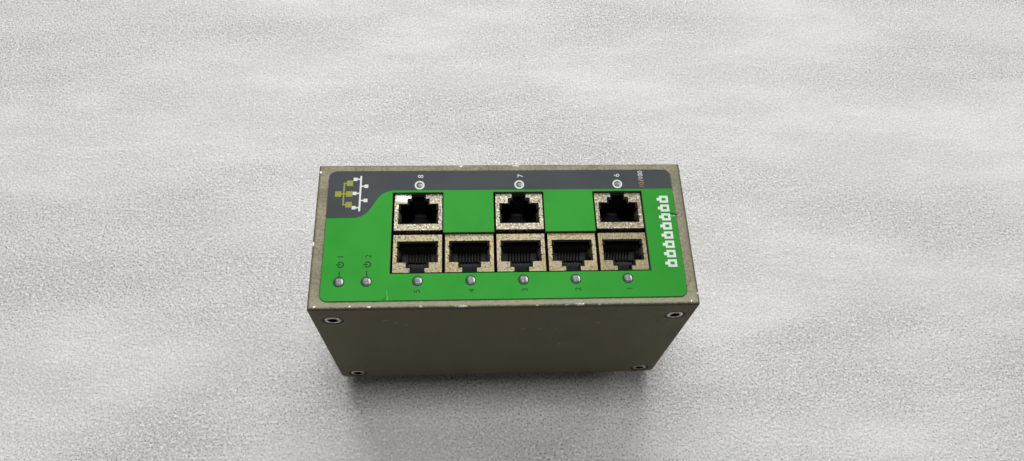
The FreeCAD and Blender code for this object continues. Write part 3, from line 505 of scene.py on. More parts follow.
def housing_paint():
    material, tree, shader, position = start_material("khaki_paint", Specular_IOR_Level=0.25)
    tones = grain_tones(tree, position, 0.9 * MM, 6 * MM, 0.45)
    _, across, height = add_node(tree, "SeparateXYZ", {0: position}).outputs
    contrast = fade(tree, height, panel_z - 3 * MM, panel_z - 0.5 * MM, 0.4, 1.0)
    coat = khaki_coat(tree, tones["Tone"], across, contrast)
    # darker beside the film and in the tear, with painted shade along the folds and round the screws
    darkened = blend_colours(tree, dirt_mask(tree, position, height), coat, dark_and_shade_tint)

    wear = place_group(tree, worn_edges, {"Position": position, "Low": panel_low, "High": panel_high,
                                          "Reach": 1.3 * MM, "Chip Size": 1.3 * MM, "Amount": 0.29})["Mask"]
    bare = largest(tree, wear, chips(tree, position, panel_chips))
    scuffed = multiply(tree, chips(tree, position, side_scuffs, 1.0), 0.55)
    worn = blend_colours(tree, largest(tree, bare, scuffed), darkened, bare_metal)
    tree.links.new(worn, shader.inputs["Base Color"])
    tree.links.new(multiply(tree, bare, 0.5), shader.inputs["Metallic"])
    rough = fade(tree, tones["Tone"], 0.3, 0.7, 0.52, 0.68)
    rough = calculate(tree, "SUBTRACT", rough, multiply(tree, bare, 0.2))
    tree.links.new(rough, shader.inputs["Roughness"])

    lump_depth = multiply(tree, contrast, 6.0)
    lumps = multiply(tree, noise(tree, position, 1.5 * MM, 3.0, 0.6), lump_depth)
    surface = calculate(tree, "SUBTRACT", calculate(tree, "ADD", tones["Height"], lumps), bare)
    bump(tree, shader, surface, 0.06 * MM)
    return material


paint = housing_paint()
print("paint:", len(paint.node_tree.nodes), "nodes")

# %% [markdown]
# ## Metals
# Bare metals show in several places. The jack shields are tinned brass that has gone dull and
# yellow in patches. The screws in the sides are steel, with painted shade at the rim, and the inner
# hardware is zinc. A metal has no paint over it: its tint, its roughness and what it mirrors make
# the look. The same function makes them all, and gives back what a special one adds to.

# %% Metals
def start_metal(name, tint, dull_tint, roughness, dullness=0.5, cloud_size=2.5 * MM, metallic=0.9):
    """Bare metal that is dulled in patches. Returns the material, its tree, shader, position and colour."""
    material, tree, shader, position = start_material(name)
    tones = grain_tones(tree, position, 0.16 * MM, cloud_size, 0.65)
    patches = fade(tree, tones["Tone"], 0.62 - 0.3 * dullness, 0.72 - 0.2 * dullness)
    colour = blend_colours(tree, patches, tint, dull_tint)
    tree.links.new(colour, shader.inputs["Base Color"])
    tree.links.new(fade(tree, patches, 0.0, 1.0, roughness, roughness + 0.2), shader.inputs["Roughness"])
    tree.links.new(fade(tree, patches, 0.0, 1.0, metallic, metallic - 0.25), shader.inputs["Metallic"])
    bump(tree, shader, tones["Height"], 0.03 * MM)
    return material, tree, shader, position, colour


zinc = start_metal("zinc", screen_colour(205, 206, 204), screen_colour(165, 165, 160), 0.3, 0.4)[0]
tin_pin = start_metal("tinned_pin", screen_colour(214, 214, 210), screen_colour(170, 168, 160), 0.3, 0.3)[0]
wire_metal = start_metal("contact_wire", screen_colour(120, 114, 102), screen_colour(84, 78, 66), 0.42, 0.5,
                         MM)[0]
print("plain metals:", [m.name for m in (zinc, tin_pin, wire_metal)])

# %% [markdown]
# ### Screws in the sides
# Painted shade darkens a screw at its rim, as in the gap of its countersink, and in its socket. Both lie at
# known distances from its axis.

# %% Dull screws
def oxidised_steel():
    material, tree, shader, position, colour = start_metal(
        "dull_steel", screen_colour(214, 200, 192), screen_colour(150, 134, 124), 0.4, 0.5, MM)
    # painted shade at the rim and in the socket, by distance from the screw's axis
    from_axis = place_group(tree, from_screw, {"Position": position})["Distance"]
    rim = fade(tree, from_axis, 2.6 * MM, 2.75 * MM)
    socket = fade(tree, from_axis, 1.75 * MM, 1.55 * MM)
    screw_painted_shade = largest(tree, rim, socket)
    tree.links.new(blend_colours(tree, screw_painted_shade, colour, screen_colour(34, 27, 24)), shader.inputs["Base Color"])
    return material


dull_steel = oxidised_steel()
print("screws:", len(dull_steel.node_tree.nodes), "nodes")

# %% [markdown]
# ### Jack shields
# The shields of the lower jacks are yellower than those of the upper ones, which carry painted
# glints in bright specks instead, and painted reflections near one corner. They are browner along the near
# edge and in the jacks at the right end, and all get painted shade, dark brown, where they go down into the
# openings.

# %% Tinned shields
port_low, port_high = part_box("jack_shield_8")
jack_face_z = port_high.z
corner_x, corner_y = port_low.x / MM + 2.6, port_high.y / MM - 1.4
# painted reflections: bright patches near a corner of the last jack, where light mirrors in the metal
corner_painted_reflections = [((corner_x, corner_y, jack_face_z / MM), (2.6, 1.5, 1.0)),
                  ((corner_x - 1.4, corner_y - 3.4, jack_face_z / MM), (0.7, 0.8, 1.0))]


def tinned_brass():
    material, tree, shader, position, colour = start_metal(
        "tinned_shield", screen_colour(160, 152, 129), screen_colour(106, 98, 74), 0.5, 0.5, 0.5 * MM, 0.75)
    along, across, height = add_node(tree, "SeparateXYZ", {0: position}).outputs
    upper_row = fade(tree, across, 0.2 * MM, 0.8 * MM)
    yellow = fade(tree, noise(tree, position, 5 * MM, 2.0), 0.4, 0.6, 0.0, 0.45)
    yellow = multiply(tree, yellow, calculate(tree, "SUBTRACT", 1.0, upper_row))
    aged = blend_colours(tree, yellow, colour, screen_colour(158, 138, 84))
    lower_edge = fade(tree, across, -9 * MM, -11 * MM, 0.0, 0.35)
    right_end = fade(tree, along, 30 * MM, 35 * MM, 0.0, 0.6)
    browner = largest(tree, lower_edge, right_end)
    aged = blend_colours(tree, browner, aged, screen_colour(118, 107, 80))

    # painted glints: bright specks, strongest on the upper row
    painted_glint = fade(tree, noise(tree, position, 0.7 * MM, 3.0, 0.65), 0.53, 0.6)
    painted_glint = multiply(tree, painted_glint, fade(tree, upper_row, 0.0, 1.0, 0.1, 0.48))
    painted_glint = largest(tree, painted_glint, chips(tree, position, corner_painted_reflections, 0.4))
    glinted = blend_colours(tree, painted_glint, aged, screen_colour(244, 242, 236))
    # painted shade, dark brown, where the shields go down into the openings
    inside = fade(tree, height, jack_face_z - 0.6 * MM, jack_face_z - 2 * MM, 0.0, 0.65)
    shaded = blend_colours(tree, inside, glinted, screen_colour(92, 64, 50))
    tree.links.new(shaded, shader.inputs["Base Color"])
    return material


tinned = tinned_brass()
print("shields:", len(tinned.node_tree.nodes), "nodes")

# %% [markdown]
# ## Plastics
# Moulded parts have a fine grain from the mould and a soft gloss. One function makes them all,
# from a colour and a roughness.

# %% Plastics
def start_plastic(name, tint, roughness=0.5, grain_size=0.25 * MM, grain_depth=0.02 * MM, gloss=0.4):
    """Moulded plastic with a fine grain. Returns the material, its tree, shader, position and colour."""
    material, tree, shader, position = start_material(name, Specular_IOR_Level=gloss)
    tones = grain_tones(tree, position, grain_size, 7 * MM, 0.6)
    tone = fade(tree, tones["Tone"], 0.3, 0.7)
    colour = blend_colours(tree, tone, shade_of(tint, 0.82), shade_of(tint, 1.18))
    tree.links.new(colour, shader.inputs["Base Color"])
    tree.links.new(fade(tree, tone, 0.0, 1.0, roughness - 0.06, roughness + 0.08), shader.inputs["Roughness"])
    bump(tree, shader, tones["Height"], grain_depth)
    return material, tree, shader, position, colour


package_plastic = start_plastic("component_package", screen_colour(38, 38, 40), 0.6)[0]
clip_plastic = start_plastic("clip_moulding", screen_colour(40, 40, 41), 0.52, 0.35 * MM, 0.04 * MM)[0]
terminal_plastic = start_plastic("terminal_moulding", screen_colour(46, 122, 62), 0.45)[0]
print("plain plastics:", [m.name for m in (package_plastic, clip_plastic, terminal_plastic)])

# %% [markdown]
# ### Inserts with dust and painted light
# Deep in the jacks, the black is painted grey, for dust and for the light that reaches in. It lies on the
# walls that face the near edge of the panel, so in each row the grey depends on the place across the panel as
# well.

# %% Inserts with dust and painted light
def dusty_insert():
    material, tree, shader, position, colour = start_plastic("black_moulding", screen_colour(21, 21, 22), 0.6,
                                                             gloss=0.1)
    _, across, height = add_node(tree, "SeparateXYZ", {0: position}).outputs
    depth = fade(tree, height, jack_face_z - 2 * MM, jack_face_z - 5 * MM)
    uneven = fade(tree, noise(tree, position, 0.8 * MM, 3.0), 0.3, 0.7, 0.7, 1.0)
    lower_start = fade(tree, across, -7.5 * MM, -3 * MM, 0.12, 1.0)
    lower_end = fade(tree, across, 0.0, 1.0 * MM, 1.0, 0.0)
    lower_row = multiply(tree, lower_start, lower_end)
    upper_row = fade(tree, across, 13 * MM, 13.8 * MM, 0.0, 0.35)
    rows = calculate(tree, "ADD", lower_row, upper_row)
    # dust and painted light: the black turns grey deep in the jacks, standing also for the light that reaches
    # in
    dust_and_painted_light = multiply(tree, multiply(tree, depth, uneven), rows)
    grey = blend_colours(tree, dust_and_painted_light, colour, screen_colour(120, 120, 120))
    tree.links.new(grey, shader.inputs["Base Color"])
    return material


black_moulding = dusty_insert()
print("inserts:", len(black_moulding.node_tree.nodes), "nodes")

# %% [markdown]
# ## Printed film
# The overlay is a polyester film printed on its back, with a satin face. Faint clouds, a few dark
# specks and a soft sheen keep it from looking like flat paint.

# %% Film
def start_film(name, tint, speck_share=0.0):
    """Satin film. Returns the material, its tree, shader, position and colour."""
    material, tree, shader, position = start_material(name, Specular_IOR_Level=0.16)
    tones = grain_tones(tree, position, 0.3 * MM, 11 * MM, 0.7)
    faint = fade(tree, tones["Tone"], 0.42, 0.68, 0.0, 0.5)
    clouded = blend_colours(tree, faint, tint, shade_of(tint, 0.86))
    specks = fade(tree, noise(tree, position, 0.6 * MM, 1.0), 0.8, 0.84, 0.0, speck_share)
    colour = blend_colours(tree, specks, clouded, shade_of(tint, 0.3))
    tree.links.new(colour, shader.inputs["Base Color"])
    tree.links.new(fade(tree, tones["Tone"], 0.3, 0.7, 0.5, 0.6), shader.inputs["Roughness"])
    bump(tree, shader, tones["Height"], 0.006 * MM)
    return material, tree, shader, position, colour


film_grey = start_film("overlay_grey", screen_colour(66, 71, 74), 0.8)[0]
print("grey film:", len(film_grey.node_tree.nodes), "nodes")

# %% [markdown]
# ### Green film
# The green is a little darker at the right end. The film is creased at its near edge, where painted
# shade in the valley lies beside a painted highlight on the ridge, and torn at its right end, where a pale
# curl stands above its own painted shadow. Each mark is laid over the ones before it, with a strength and a
# tint.

# %% Green film
edge_y, film_z = film_low.y / MM, film_high.z / MM
tear_x = film_high.x / MM - 1.6
# painted shade in the crease's valley, then a painted highlight on its ridge
crease_painted_shade = [((-37.1, edge_y + 0.6, film_z), (0.8, 0.35, 0.5)),
          ((-36.8, edge_y + 1.9, film_z), (0.16, 1.4, 0.5))]
crease_painted_highlight = [((-36.3, edge_y + 0.9, film_z), (0.25, 0.9, 0.5)),
         ((-36.6, edge_y + 2.6, film_z), (0.14, 1.1, 0.5))]
shadow = [((tear_x - 0.2, 6.3, film_z), (1.5, 0.3, 0.5))]
curl = [((tear_x + 0.4, 5.5, film_z), (1.1, 0.2, 0.5))]
film_marks = [(crease_painted_shade, 0.25, 0.5, (18, 84, 20)), (crease_painted_highlight, 0.25, 0.6, (104, 196, 96)),
              (shadow, 0.3, 1.0, (20, 36, 18)), (curl, 0.3, 0.8, (206, 214, 190))]


def green_film():
    material, tree, shader, position, colour = start_film("overlay_green", screen_colour(43, 155, 44), 0.8)
    along = add_node(tree, "SeparateXYZ", {0: position}).outputs[0]
    darker = fade(tree, along, 20 * MM, film_high.x, 0.0, 0.22)
    colour = blend_colours(tree, darker, colour, screen_colour(20, 110, 16))
    for places, ragged, strength, tint in film_marks:
        mask = multiply(tree, chips(tree, position, places, ragged), strength)
        colour = blend_colours(tree, mask, colour, screen_colour(*tint))
    tree.links.new(colour, shader.inputs["Base Color"])
    return material


film_green = green_film()
print("green film:", len(film_green.node_tree.nodes), "nodes,", len(film_marks), "marks")

# %% [markdown]
# ### Inks
# The inks on the film, and the painted shade in the gaps round the lower lamps, are small enough to take
# one tint each.

# %% Inks
# the last tint is painted shade, for the gap round each lower lamp
ink_tints = {"white_ink": (222, 228, 224), "dark_ink": (24, 66, 28), "olive_ink": (150, 158, 62),
             "amber_ink": (176, 132, 84), "lamp_gap": (36, 58, 38)}
white_ink, dark_ink, olive_ink, amber_ink, gap_shade_material = [
    start_film(name, screen_colour(*tint))[0] for name, tint in ink_tints.items()]
print("inks:", *ink_tints)

# %% [markdown]
# ## Pieces
# Each shown piece says which body it moves with, which material slot it has, and which solids it
# stands for. These helpers do that, and turn a mesh into a piece.

# %% Piece helpers
def finish_piece(piece, body, nodes=()):
    """Says which body a piece moves with, and the solids that it stands for."""
    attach(piece, body)
    if nodes:
        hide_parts(*nodes)
    return piece


def link_mesh(name, mesh, material):
    piece = bpy.data.objects.new(name, mesh)
    mesh.materials.clear()
    mesh.materials.append(material)
    scene.collection.objects.link(piece)
    return piece


def smooth_below(mesh, degrees):
    """Shades a mesh smooth, except across edges sharper than an angle."""
    mesh.polygons.foreach_set("use_smooth", [True] * len(mesh.polygons))
    mesh.set_sharp_from_angle(angle=math.radians(degrees))


def apply_modifiers(piece):
    """Keeps what the modifiers made as the piece's own mesh."""
    bpy.context.view_layer.update()
    ready = piece.evaluated_get(bpy.context.evaluated_depsgraph_get())
    mesh = bpy.data.meshes.new_from_object(ready)
    piece.modifiers.clear()
    piece.data = mesh


print("piece helpers: finish_piece, link_mesh, smooth_below, apply_modifiers")

# %% [markdown]
# ## Rounding the edges of the solids
# A folded sheet or a moulding never has a perfectly sharp edge, and the thin highlight along a
# rounded edge is what makes it look real. The solids stay as they are. A rounded piece is a copy
# whose flat faces are merged first, and whose edges a bevel modifier then rounds.

# %% Rounded copies
merge_distance = 0.002 * MM
flat_angle = math.radians(0.5)
edge_angle = 40


def rounded_copy(node, radius, material, body="switch"):
    """A copy of a solid with rounded edges, which takes its place."""
    builder = bmesh.new()
    builder.from_mesh(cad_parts[node].data)
    bmesh.ops.remove_doubles(builder, verts=builder.verts, dist=merge_distance)
    bmesh.ops.dissolve_limit(builder, angle_limit=flat_angle, verts=builder.verts, edges=builder.edges)
    mesh = bpy.data.meshes.new(node + "_dressed")
    builder.to_mesh(mesh)
    builder.free()
    piece = link_mesh(node + "_dressed", mesh, material)
    smooth_below(mesh, edge_angle)
    bevel = piece.modifiers.new("rounded", "BEVEL")
    bevel.width = radius
    bevel.segments = 2
    bevel.limit_method = "ANGLE"
    bevel.angle_limit = math.radians(edge_angle)
    bevel.miter_outer = "MITER_SHARP"
    weighted = piece.modifiers.new("weighted", "WEIGHTED_NORMAL")
    weighted.keep_sharp = True
    apply_modifiers(piece)
    finish_piece(piece, body, [node])
    print(piece.name, len(piece.data.polygons), "faces")
    return piece


rounded_copy("front_cover", 0.12 * MM, paint)
rounded_copy("rear_chassis", 0.12 * MM, paint)
rounded_copy("front_overlay", 0.06 * MM, film_green)

# %% [markdown]
# The grey field is only printed ink, so it has no edges to round. It gets its finish as it is.

# %% Grey field
def dress(node, material):
    """Gives a solid that keeps its shape another material."""
    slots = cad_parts[node].data.materials
    slots.clear()
    slots.append(material)


dress("overlay_grey_field", film_grey)
print("grey field:", film_grey.name)

# %% [markdown]
# ## Turned forms
# Screws, lamps and washers are turned: a profile of points is spun round an axis. The function
# builds the rings of vertices itself, and joins each ring to the next with faces.

# %% Turning
turned_sides = 48
ring_sides = 40


def ring(builder, radius, height, count, corners=0):
    """A ring of vertices. With corners, its points lie on a regular polygon of that many corners."""
    made = []
    for i in range(count):
        angle = 2 * math.pi * i / count
        reach = radius
        if corners:
            sector = 2 * math.pi / corners
            reach = radius * math.cos(sector / 2) / math.cos(angle % sector - sector / 2)
        made.append(builder.verts.new((reach * math.cos(angle), reach * math.sin(angle), height)))
    return made


def join_rings(builder, lower, upper):
    for i in range(len(lower)):
        j = (i + 1) % len(lower)
        builder.faces.new((lower[i], lower[j], upper[j], upper[i]))


def turned_mesh(builder, profile, place, axis):
    """Spins (radius, height, corners) points in millimetres. The first and last rings are closed."""
    start = set(builder.verts)
    rings = [ring(builder, radius * MM, height * MM, turned_sides, corners)
             for radius, height, corners in profile]
    for lower, upper in zip(rings, rings[1:]):
        join_rings(builder, lower, upper)
    builder.faces.new(rings[0][::-1])
    builder.faces.new(rings[-1])
    turn = Vector((0, 0, 1)).rotation_difference(Vector(axis)).to_matrix().to_4x4()
    made = [v for v in builder.verts if v not in start]
    bmesh.ops.transform(builder, matrix=Matrix.Translation(place) @ turn, verts=made)


def build_piece(name, builder, material, nodes=()):
    """Turns finished mesh code into a piece of the switch."""
    bmesh.ops.recalc_face_normals(builder, faces=builder.faces)
    mesh = bpy.data.meshes.new(name)
    builder.to_mesh(mesh)
    builder.free()
    smooth_below(mesh, 35)
    finish_piece(link_mesh(name, mesh, material), "switch", nodes)
    print(name, len(mesh.polygons), "faces")


print("turned forms have", turned_sides, "sides")

# %% [markdown]
# ## Screws in the long sides
# Each is a countersunk screw with a hexagon socket. Its profile runs up the cone to the rim, over
# a bevel to the flat face, and down into the socket, whose rings have six corners. Light catches
# the bevel on one side, and it stays dark on the other.

# %% Side screws
def socket_screw(builder, place, outward, length):
    """Countersunk screw. Its face is at place, outward points out of the metal, length is in mm."""
    profile = [(1.5, -length, 0), (1.5, -1.7, 0), (2.95, -0.45, 0), (2.85, -0.3, 0), (2.6, -0.06, 0),
               (2.5, 0.0, 0), (1.72, 0.0, 6), (1.6, -0.15, 6), (1.6, -1.8, 6), (0.3, -2.2, 0)]
    turned_mesh(builder, profile, place, outward)


builder = bmesh.new()
for low, high in screw_boxes:
    outward_y = -1 if low.y < 0 else 1
    face_y = low.y if outward_y < 0 else high.y
    centre = Vector(((low.x + high.x) / 2, face_y, (low.z + high.z) / 2))
    socket_screw(builder, centre, (0, outward_y, 0), 6.0)
build_piece("side_screw_heads", builder, dull_steel, ["side_screws"])

# %% [markdown]
# ## Lamps
# Each lamp is a small round light whose frosted tip looks through the panel. The lower ones stand
# proud as a low dome, with a ring of painted shade round them where the film's hole is a little larger. Over
# the upper ones the film leaves only a small window, and a white ring is printed round it.

# %% Lamp material
def facing(tree, normal, direction, start, end):
    """A mask that rises from 0 to 1 while the cosine to a direction goes from start to end."""
    inputs = {0: normal, 1: Vector(direction).normalized()}
    cosine = add_node(tree, "VectorMath", inputs, operation="DOT_PRODUCT").outputs["Value"]
    return fade(tree, cosine, start, end)


def frosted_resin():
    """Frosted resin with a painted highlight in a crescent to the right, and painted shade in one to the
    left.
    """
    material, tree, shader, position = start_material("frosted_lamp", Coat_Weight=0.3, Coat_Roughness=0.2)
    tones = grain_tones(tree, position, 0.2 * MM, 0.9 * MM, 0.8)
    tone = fade(tree, tones["Tone"], 0.35, 0.65)
    colour = blend_colours(tree, tone, screen_colour(104, 110, 107), screen_colour(136, 142, 138))
    normal = add_node(tree, "TexCoord").outputs["Normal"]
    # painted shade on the bevel's left side and a painted highlight on its right, by the normal's direction
    painted_shade_crescent = facing(tree, normal, (-0.85, -0.15, 0.5), 0.66, 0.82)
    colour = blend_colours(tree, multiply(tree, painted_shade_crescent, 0.7), colour, screen_colour(58, 62, 60))
    painted_highlight_crescent = facing(tree, normal, (0.85, 0.1, 0.5), 0.7, 0.8)
    colour = blend_colours(tree, multiply(tree, painted_highlight_crescent, 0.9), colour, screen_colour(240, 242, 238))
    tree.links.new(colour, shader.inputs["Base Color"])
    tree.links.new(fade(tree, tone, 0.0, 1.0, 0.35, 0.5), shader.inputs["Roughness"])
    bump(tree, shader, tones["Height"], 0.01 * MM)
    return material


lamp_resin = frosted_resin()
lamp_nodes = sorted(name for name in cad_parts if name.startswith("lamp_"))
print("lamps:", len(lamp_nodes))

# %% [markdown]
# The tip's profile has a steep rim, a wide bevel and a nearly flat top. A painted highlight lies in a
# crescent on the bevel along one side.

# %% Lamp bodies
tip_shape = [(1.0, -1.0), (0.98, -0.85), (0.93, -0.72), (0.62, -0.16), (0.54, -0.08), (0.4, -0.03),
             (0.2, 0.0)]
tip_rise = 0.4


def lens_profile(radius):
    """A round lamp from its foot up to its tip, in millimetres below the top."""
    return [(radius, -4.0, 0)] + [(radius * part, tip_rise * height, 0) for part, height in tip_shape]


def flat_ring(builder, centre, inner_r, outer_r, thickness):
    """A thin flat ring, such as a printed circle."""
    rings = []
    for radius, height in ((inner_r, 0), (outer_r, 0), (outer_r, thickness), (inner_r, thickness)):
        rings.append(ring(builder, radius, height, ring_sides))
    for lower, upper in zip(rings, rings[1:] + rings[:1]):
        join_rings(builder, lower, upper)
    bmesh.ops.translate(builder, vec=centre, verts=[v for r in rings for v in r])


grey_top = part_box("overlay_grey_field")[1].z
film_top = film_high.z
ink_t = 0.02 * MM
window_lens_r = 1.08       # in millimetres, as profiles are
dome_r = 1.45
lamp_centres = {}
gap_shade_rings = bmesh.new()
rings_white = bmesh.new()
for node in lamp_nodes:
    low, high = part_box(node)
    upper_row = (low.y + high.y) / 2 > 0
    # a lamp's leads reach past its round part on the board's side only
    lamp_r = (high.x - low.x) / 2
    centre_y = high.y - lamp_r if upper_row else low.y + lamp_r
    centre = Vector(((low.x + high.x) / 2, centre_y, high.z))
    lamp_centres[node] = centre
    builder = bmesh.new()
    turned_mesh(builder, lens_profile(window_lens_r if upper_row else dome_r), centre, (0, 0, 1))
    build_piece(node + "_lens", builder, lamp_resin, [node])
    if upper_row:
        ring_place = Vector((centre.x, centre.y, grey_top - ink_t / 2))
        flat_ring(rings_white, ring_place, 1.1 * MM, 1.68 * MM, ink_t)
    else:
        ring_place = Vector((centre.x, centre.y, film_top - ink_t / 2))
        # a dark ring of painted shade, for the gap round a lower lamp
        flat_ring(gap_shade_rings, ring_place, dome_r * MM, 1.8 * MM, ink_t)
build_piece("lamp_gaps", gap_shade_rings, gap_shade_material)
build_piece("lamp_rings", rings_white, white_ink)

# %% [markdown]
# ## Numbers
# Each jack has its number beside its lamp. Blender's text objects make them: the text is turned a
# quarter round, because the switch hangs upright in use and the panel then reads from the side,
# and it is made into a thin mesh.

# %% Numbers
def printed_text(name, text, centre, height, material, top):
    """Text as thin ink on a surface at height top. It reads along Y, and its upper side faces -X."""
    curve = bpy.data.curves.new(name, "FONT")
    curve.body = text
    curve.size = height / 0.7
    curve.align_x = "CENTER"
    curve.align_y = "CENTER"
    curve.extrude = ink_t / 2
    curve.resolution_u = 6
    source = bpy.data.objects.new(name + "_text", curve)
    scene.collection.objects.link(source)
    bpy.context.view_layer.update()
    mesh = bpy.data.meshes.new_from_object(source.evaluated_get(bpy.context.evaluated_depsgraph_get()))
    bpy.data.objects.remove(source)
    middle_y = sum(v.co.y for v in mesh.vertices) / len(mesh.vertices)
    place = Matrix.Translation((centre[0], centre[1], top + ink_t / 2))
    mesh.transform(place @ Matrix.Rotation(math.pi / 2, 4, "Z") @ Matrix.Translation((0, -middle_y, 0)))
    finish_piece(link_mesh(name, mesh, material), "switch")


number_height = 1.9 * MM
speed_height = 1.65 * MM
# how far from the lamp a number stands, its ink, its slot and the height of its surface
on_grey = (3.45 * MM, white_ink, "overlay_grey", grey_top)
on_green = (-3.55 * MM, dark_ink, "overlay_green", film_top)
for number in range(1, 9):
    centre = lamp_centres[f"lamp_port_{number}"]
    offset_y, ink, slot, top = on_grey if centre.y > 0 else on_green
    place = (centre.x + 0.25 * MM, centre.y + offset_y)
    printed_text(f"number_{number}", str(number), place, number_height, ink, top)
speed_x = lamp_centres["lamp_port_6"].x + 8.35 * MM
printed_text("speed_low", "10", (speed_x, 17.6 * MM), speed_height, amber_ink, grey_top)
printed_text("speed_high", "/100", (speed_x, 21.2 * MM), speed_height, white_ink, grey_top)
print("numbers 1 to 8 are", round(number_height / MM, 2), "mm high")

# %% [markdown]
# ## Pictograms
# The rest of the printing is plain: a small network tree, a bus line with its taps, a column of
# jack shapes and a power sign beside each supply lamp. They are made of filled shapes, and of
# strokes: flat bars between two points, with round ends.

# %% Strokes
def filled_shape(builder, outline, top):
    """Ink inside an outline of (x, y) points in millimetres, a hair above the ink laid before it."""
    levels = (top - ink_t / 2, top + ink_t + 2e-8 * len(builder.verts))
    rows = [[builder.verts.new((x * MM, y * MM, level_z)) for x, y in outline] for level_z in levels]
    join_rings(builder, *rows)
    builder.faces.new(rows[0][::-1])
    builder.faces.new(rows[1])


def filled_box(builder, x, y, top):
    filled_shape(builder, [(x[0], y[0]), (x[1], y[0]), (x[1], y[1]), (x[0], y[1])], top)


def stroke(builder, start, end, width, top):
    """A bar of ink between two points (x, y) in millimetres, with round ends."""
    along = math.atan2(end[1] - start[1], end[0] - start[0])
    outline = []
    for point, first in ((end, -math.pi / 2), (start, math.pi / 2)):
        for i in range(9):
            angle = along + first + math.pi * i / 8
            outline.append((point[0] + width / 2 * math.cos(angle), point[1] + width / 2 * math.sin(angle)))
    filled_shape(builder, outline, top)


def strokes(builder, points, width, top):
    for start, end in zip(points, points[1:]):
        stroke(builder, start, end, width, top)


print("ink is", round(ink_t / MM, 3), "mm thick")

# %% [markdown]
# The tree has one square at its root and three leaves. Like the numbers it stands upright when
# the switch hangs on its rail, so its upper side faces -X.

# %% Network tree
tree_x = (-55.2, -49.4)       # from the root's upper side to the leaves' lower side
tree_y = (9.6, 20.0)
node_w = 2.1
line_w = 0.5
middle_y = sum(tree_y) / 2
stem_x = tree_x[0] + node_w + 0.8
leaf_x = tree_x[1] - node_w
leaf_ys = [tree_y[0] + node_w / 2, middle_y, tree_y[1] - node_w / 2]
builder = bmesh.new()
filled_box(builder, (tree_x[0], tree_x[0] + node_w), (middle_y - node_w / 2, middle_y + node_w / 2), grey_top)
for leaf_y in leaf_ys:
    filled_box(builder, (leaf_x, tree_x[1]), (leaf_y - node_w / 2, leaf_y + node_w / 2), grey_top)
    stroke(builder, (stem_x, leaf_y), (leaf_x, leaf_y), line_w, grey_top)
stroke(builder, (tree_x[0] + node_w, middle_y), (stem_x, middle_y), line_w, grey_top)
stroke(builder, (stem_x, leaf_ys[0]), (stem_x, leaf_ys[2]), line_w, grey_top)
build_piece("network_tree", builder, olive_ink)

# %% [markdown]
# The bus line is one long stroke with taps on alternate sides, each ending in a small square.

# %% Bus line
bus_x = -46.8
bus_y = (8.4, 21.6)
taps = 5
tap_reach = 1.9
half_w = 0.65
builder = bmesh.new()
stroke(builder, (bus_x, bus_y[0]), (bus_x, bus_y[1]), 0.62, grey_top)
for i in range(taps):
    tap_y = bus_y[0] + 1.1 + (bus_y[1] - bus_y[0] - 2.2) * i / (taps - 1)
    tap_x = bus_x - tap_reach if i % 2 == 0 else bus_x + tap_reach
    stroke(builder, (bus_x, tap_y), (tap_x, tap_y), line_w, grey_top)
    filled_box(builder, (tap_x - half_w, tap_x + half_w), (tap_y - half_w, tap_y + half_w), grey_top)
build_piece("bus_line", builder, white_ink)

# %% [markdown]
# A column of eight jack signs says how many jacks there are. Each is a bold outline with a step
# for the plug's latch, and they fill the strip between the jacks and the end of the panel.

# %% Jack signs
column_x = (54.1, 58.0)
column_y = (-13.5, 13.2)
sign_gap = 0.75
sign_w = (column_y[1] - column_y[0] - 7 * sign_gap) / 8
bold = 0.8
step_x = column_x[0] + 0.9
builder = bmesh.new()
for i in range(8):
    low_y = column_y[0] + i * (sign_w + sign_gap)
    high_y = low_y + sign_w
    for y_span in ((low_y, low_y + bold), (high_y - bold, high_y)):
        filled_box(builder, (step_x + bold, column_x[1] - bold), y_span, film_top)
    filled_box(builder, (step_x, step_x + bold), (low_y, high_y), film_top)
    filled_box(builder, (column_x[1] - bold, column_x[1]), (low_y, high_y), film_top)
    filled_box(builder, (column_x[0], step_x), (low_y + bold, high_y - bold), film_top)
build_piece("jack_signs", builder, white_ink)

# %% [markdown]
# Beside each supply lamp, a thin leader line runs to a power sign, which is an open ring with a
# bar, and to the lamp's number.

# %% Supply lamp signs
ring_r = 0.95
ring_w = 0.38
for number in (1, 2):
    lamp_x, lamp_y, _ = lamp_centres[f"lamp_power_{number}"] / MM
    sign_y = lamp_y + 6.0
    builder = bmesh.new()
    stroke(builder, (lamp_x, lamp_y + 1.8), (lamp_x, lamp_y + 3.6), 0.32, film_top)
    points = []
    for i in range(13):
        angle = math.radians(220 + 280 * i / 12)
        points.append((lamp_x + 0.15 + ring_r * math.cos(angle), sign_y + ring_r * math.sin(angle)))
    strokes(builder, points, ring_w, film_top)
    stroke(builder, (lamp_x - 1.1, sign_y), (lamp_x + 0.05, sign_y), ring_w, film_top)
    build_piece(f"power_sign_{number}", builder, dark_ink)
    place = (lamp_x * MM, (sign_y + 2.9) * MM)
    printed_text(f"power_number_{number}", str(number), place, number_height, dark_ink,
                 film_top)

# %% [markdown]
# ## Jacks
# A jack is a folded, tinned shield round a black insert with eight spring wires. The shield's
# edges get a small radius. The insert and the wires sit deep in shadow and keep their solids.

# %% Jacks
for number in range(1, 9):
    rounded_copy(f"jack_shield_{number}", 0.07 * MM, tinned)
    dress(f"jack_insert_{number}", black_moulding)
    dress(f"jack_contacts_{number}", wire_metal)

# %% [markdown]
# ## Circuit boards and what they carry
# The boards are inside the box, behind the jacks. Solder mask is a clear green lacquer, so the
# copper under it shows as lighter green where tracks run.

